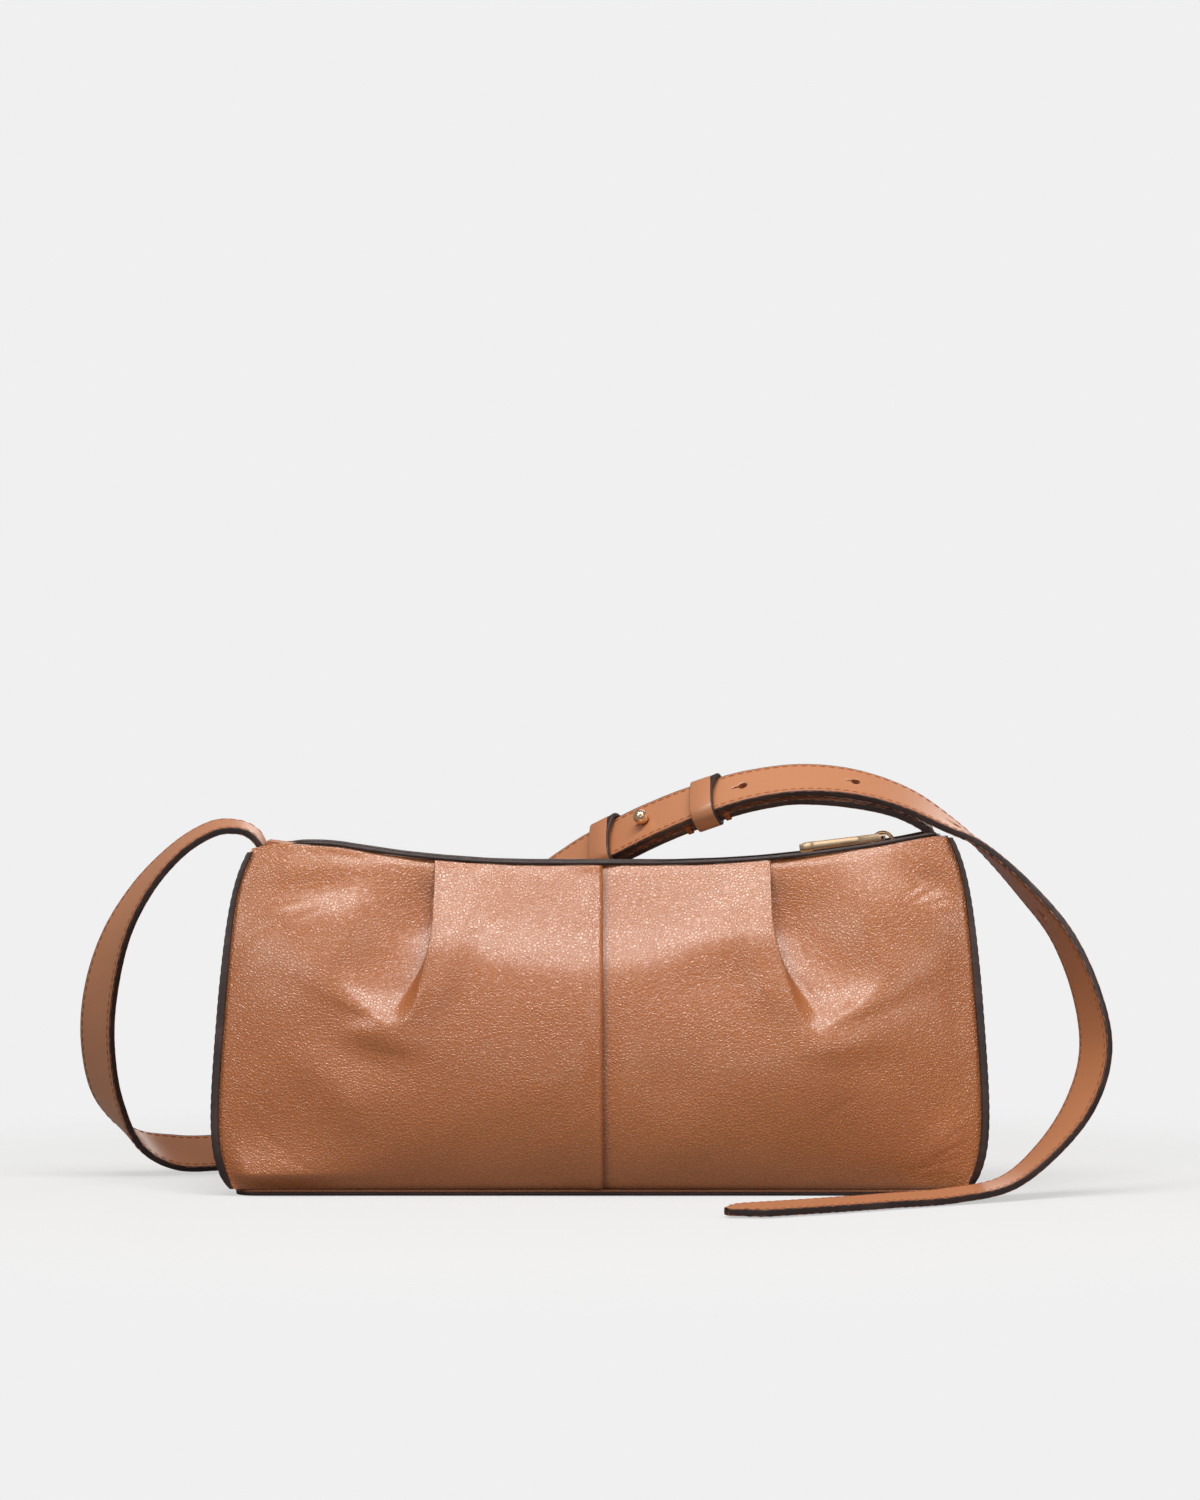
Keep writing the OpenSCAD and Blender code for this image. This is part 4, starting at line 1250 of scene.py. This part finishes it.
def make_stud():
    """Ball stud: collar, waist and ball, with its screw head under the short strap."""
    middle, way, wide, normal = LONG.frame(STUD_AT)
    base = -STRAP_T / 2 - 0.85
    turn = np.linspace(-0.9, np.pi / 2 - 0.02, 14)
    ball_z, ball_r = STRAP_T / 2 + 3.0, 2.9
    profile = [(0.02, base), (3.2, base), (3.4, base + 0.15), (3.4, base + 0.5), (3.2, base + 0.6),
               (1.3, base + 0.62), (1.3, 0.9), (1.5, 1.7), (2.0, 1.9), (2.1, 2.15)]
    profile = [(r, h) for r, h in profile if h < ball_z + ball_r * np.sin(-0.9)]
    profile += [(ball_r * np.cos(a), ball_z + ball_r * np.sin(a)) for a in turn]
    axes = (way, wide, normal)
    put_piece("stud_ball", turned(profile, middle, axes), GOLD, ["stud_head"], 35)
    low = -STRAP_T / 2
    screw = [(0.02, low - 1.3), (2.6, low - 1.3), (3.1, low - 1.15), (3.3, low - 0.8), (3.3, low - 0.3),
             (3.2, low - 0.2), (1.0, low - 0.2), (1.0, STRAP_T / 2 + 0.6), (0.02, STRAP_T / 2 + 0.6)]
    put_piece("stud_back", turned(screw, middle - STACK * normal, axes), GOLD, ["stud_screw"], 35)


# ---------------------------------------------------------------- zip

TAPE_GAP = 0.15
TAPE_NEAR = 2.2
TAPE_T = 0.6
TAB_T = 1.6
TAB_HALF_W = 11.4


def on_track(points, x):
    """Points given about the track's lowest line are turned about its far centre to stand at x."""
    a = np.arcsin((x - TRACK_X) / TRACK_R)
    p = points + [0, 0, -TRACK_R]
    c, s = np.cos(a), np.sin(a)
    x, y, z = np.moveaxis(p, -1, 0)
    return np.stack([x * c - z * s + TRACK_X, y, x * s + z * c + TRACK_ZC], -1)


def track_line(x, up):
    """(x, z) of points up mm above the track at x."""
    a = np.arcsin((x - TRACK_X) / TRACK_R)
    return TRACK_X + (TRACK_R - up) * np.sin(a), TRACK_ZC - (TRACK_R - up) * np.cos(a)


def inside_wall(x):
    """Half depth of the room between the walls at the rim."""
    return plain_depth(x / seam_x(1.0), 1.0) - LEATHER - TAPE_GAP


def make_zip():
    """Tapes from the teeth to the walls with a rolled inner edge, leather tabs at both ends, metal kept."""
    x = np.linspace(CHAIN_X0 - 6, CHAIN_X1 + 6, 160)[:, None]
    reach = np.linspace(0, 1, 22)[None, :]
    y = TAPE_NEAR + (inside_wall(x) - TAPE_NEAR) * reach
    up = -0.6 + 0.14 * bell((y - 2.6) / 0.5) - 0.5 * smooth((reach - 0.7) / 0.3)
    up = up + 0.06 * np.sin(x / 6.0) * reach
    px, pz = track_line(x, up)
    for side, place in SIDES:
        put_cloth(f"zip_cloth_{place}", grid_of(px, side * y, pz), [0, 0, TAPE_T], TAPE,
                  f"zip_tape_{place}", 50)
    for x0, x1, where in ((-131.0, CHAIN_X0 - 2, "left"), (CHAIN_X1 + 6, 131.0, "right")):
        a = np.linspace(0, 1, 40)[:, None]
        b = np.linspace(-1, 1, 31)[None, :]
        xx = x0 + (x1 - x0) * a
        limit = np.minimum(inside_wall(xx), TAB_HALF_W)
        y = b * limit * np.sqrt(1 - 0.1 * bell((a - (1 if where == "left" else 0)) / 0.2))
        up = -1.35 + 0.35 * (1 - b**4) * (1 - (2 * a - 1) ** 6)
        px, pz = track_line(xx, up)
        grid = grid_of(px, y, pz)
        edge = bell((np.abs(b) - 1) / 0.08) + 0 * a
        put_piece(f"zip_end_{where}", sheet_solid(grid, grid - [0, 0, TAB_T]), SMOOTH,
                  [f"zip_tab_{where}"], marks={"edge": np.tile(edge, (2, 1))})
    for name in ("zip_teeth_front", "zip_teeth_back", "zip_stop_open", "zip_stop_closed"):
        give_finish(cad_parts[name], GOLD)


def slab(x0, x1, y0, y1, z0, z1, round_):
    """A block with rounded upright and level edges: rounded outlines stacked from a small one through
    full ones to a small one."""
    cx, cy = (x0 + x1) / 2, (y0 + y1) / 2
    hx, hy = (x1 - x0) / 2, (y1 - y0) / 2
    r = min(round_, (z1 - z0) / 2)
    t = np.linspace(0, np.pi / 2, 4)
    inset = np.concatenate([r * (1 - np.sin(t)), r * (1 - np.cos(t))])
    level = np.concatenate([z0 + r * (1 - np.cos(t)), z1 - r * (1 - np.sin(t))])
    rings = [np.concatenate([rounded(hx - d, hy - d, max(round_ * 1.6 - d, 0.05)) + [cx, cy],
                             np.full((20, 1), h)], 1) for d, h in zip(inset, level)]
    return swept(np.array(rings))


def tube(path, radius):
    """A round wire along an open path that lies in a plane y = constant."""
    way = unit(np.gradient(path, axis=0))
    side = np.tile([0.0, 1.0, 0.0], (len(path), 1))
    up = np.cross(way, side)
    turn = circle(14)[None, :, None]
    return swept(path[:, None] + radius * (np.cos(turn) * side[:, None] + np.sin(turn) * up[:, None]))


def make_slider():
    """Slider: a rounded top plate with side flanges, lower plate, post and an arched bail."""
    parts = [slab(-5, 5, -4, 4, 0.3, 1.5, 0.45), slab(-5, 5, 2.9, 4, -0.3, 0.6, 0.25),
             slab(-5, 5, -4, -2.9, -0.3, 0.6, 0.25), slab(-5, 5, -4, 4, -3.3, -2.3, 0.4),
             slab(2, 4.5, -0.4, 0.4, -3, 1, 0.15)]
    a = np.linspace(0, np.pi, 40)
    arch = np.stack([4.1 * np.cos(a), 0 * a, 1.4 + 4.1 * np.sin(a)], -1)
    arch = np.concatenate([[[4.1, 0, 0.9]], arch, [[-4.1, 0, 0.9]]])
    parts.append(tube(arch, 0.75))
    points, faces = joined(parts)
    put_piece("slider_body", (on_track(points, SLIDER_X), faces), GOLD, ["zip_slider"], 35,
              "slider")


def make_pull():
    """Pull: a faceted bar with a stepped lip at its free end, and a fork whose pin hangs in the bail.
    Each cross-section along the bar is a rounded outline with its own top, bottom and half width."""
    x = np.array([-33.0, -32.9, -32.4, -31.2, -30.6, -28.4, -27.8, -26, -14, -9.2, -8.6, -8.2])
    top = np.array([0.9, 1.2, 1.45, 1.6, 1.9, 1.95, 1.9, 1.86, 1.75, 1.7, 1.6, 1.3])
    low = np.array([-1.5, -1.7, -1.85, -1.9, -1.95, -1.95, -1.6, -1.55, -1.45, -1.4, -1.35, -1.1])
    wide = np.array([1.7, 2.05, 2.25, 2.3, 2.3, 2.3, 2.15, 2.12, 2.12, 2.12, 2.05, 1.8])
    outline = rounded(1, 1, 0.16, 4)

    def bar(x, top, low, wide, middle):
        y = middle + outline[:, 0] * wide[:, None]
        z = (top + low)[:, None] / 2 + outline[:, 1] * (top - low)[:, None] / 2
        return swept(grid_of(x[:, None], y, z))

    parts = [bar(x, top, low, wide, 0)]
    for side in (-1, 1):
        x = np.array([-9.6, -9.0, -2.0, 0.4, 1.0, 1.2])
        top = np.array([1.6, 1.66, 1.6, 1.1, 0.8, 0.45])
        low = np.array([-1.3, -1.38, -1.2, -1.1, -0.8, -0.45])
        wide = np.array([0.45, 0.56, 0.56, 0.56, 0.5, 0.3])
        parts.append(bar(x, top, low, wide, side * 1.72))
    turn = circle(16)
    ys = np.array([-2.28, -2.2, 2.2, 2.28])
    r = np.array([0.6, 0.8, 0.8, 0.6])
    pin = np.stack([r[:, None] * np.cos(turn), ys[:, None] + 0 * turn, r[:, None] * np.sin(turn)], -1)
    parts.append(swept(pin))
    points, faces = joined(parts)
    points = on_track(points + [0, 0, PULL_AXIS_Z], SLIDER_X)
    put_piece("pull_bar", (points, faces), GOLD, ["zip_pull"], 30, "pull")


# ---------------------------------------------------------------- studio


def paper_floor():
    """Pale seamless floor: matt near the bag, fading into the backdrop's own tone far from it. Light
    that reaches it indirectly meets a darker paper, so that it throws little back on the bag."""
    f = Finish("pale_floor")
    lit = f.node("ShaderNodeBsdfDiffuse", {}, {"Color": (0.80, 0.80, 0.80, 1)}, "BSDF")
    even = f.node("ShaderNodeEmission", {}, {"Color": (PAPER, PAPER, PAPER, 1)}, "Emission")
    seen = f.node("ShaderNodeMixShader", {}, {0: 0.62, 1: lit, 2: even}, 0)
    dull = f.node("ShaderNodeBsdfDiffuse", {}, {"Color": (0.30, 0.29, 0.28, 1)}, "BSDF")
    direct = f.node("ShaderNodeLightPath", {}, {}, "Is Camera Ray")
    paper = f.node("ShaderNodeMixShader", {}, {0: direct, 1: dull, 2: seen}, 0)
    clear = f.node("ShaderNodeBsdfTransparent", {}, {}, "BSDF")
    far = f.node("ShaderNodeVectorMath", {"operation": "LENGTH"}, {0: f.place}, "Value")
    share = f.node("ShaderNodeMapRange", {"interpolation_type": "SMOOTHSTEP"}, {
        "Value": far, "From Min": 0.22, "From Max": 0.42, "To Min": 0.0, "To Max": 1.0})
    both = f.node("ShaderNodeMixShader", {}, {0: share, 1: paper, 2: clear}, 0)
    out = f.tree.nodes.new("ShaderNodeOutputMaterial")
    f.tree.links.new(both.socket, out.inputs["Surface"])
    return f.material


def add_studio():
    half = 3.0
    mesh = bpy.data.meshes.new("floor")
    corners = [(-half, -half, 0), (half, -half, 0), (half, half, 0), (-half, half, 0)]
    mesh.from_pydata(corners, [], [(0, 1, 2, 3)])
    mesh.materials.append(paper_floor())
    floor = bpy.data.objects.new("floor", mesh)
    bpy.context.scene.collection.objects.link(floor)
    world = bpy.data.worlds.new("studio")
    world.use_nodes = True
    tree = world.node_tree
    tree.nodes.clear()
    seen = tree.nodes.new("ShaderNodeBackground")
    seen.inputs["Color"].default_value = (PAPER, PAPER, PAPER, 1)
    lit = tree.nodes.new("ShaderNodeBackground")
    lit.inputs["Color"].default_value = (1, 1, 1, 1)
    lit.inputs["Strength"].default_value = AMBIENT
    path = tree.nodes.new("ShaderNodeLightPath")
    mix = tree.nodes.new("ShaderNodeMixShader")
    out = tree.nodes.new("ShaderNodeOutputWorld")
    tree.links.new(path.outputs["Is Camera Ray"], mix.inputs[0])
    tree.links.new(lit.outputs[0], mix.inputs[1])
    tree.links.new(seen.outputs[0], mix.inputs[2])
    tree.links.new(mix.outputs[0], out.inputs["Surface"])
    bpy.context.scene.world = world
    for light in SOFTBOXES:
        add_softbox(*light)
    bpy.context.scene.view_settings.view_transform = "Standard"


add_camera()
add_studio()
make_panels()
make_gussets()
make_side_seams()
make_bindings()
make_base()
make_linings()
make_straps()
make_keeper(FIXED_AT, 0.35, "fixed_keeper", "keeper_fixed", "bag")
make_keeper(SLIDING_AT, 0.8, "sliding_keeper", "keeper_sliding", "keeper")
make_tacks()
make_stud()
make_zip()
make_slider()
make_pull()
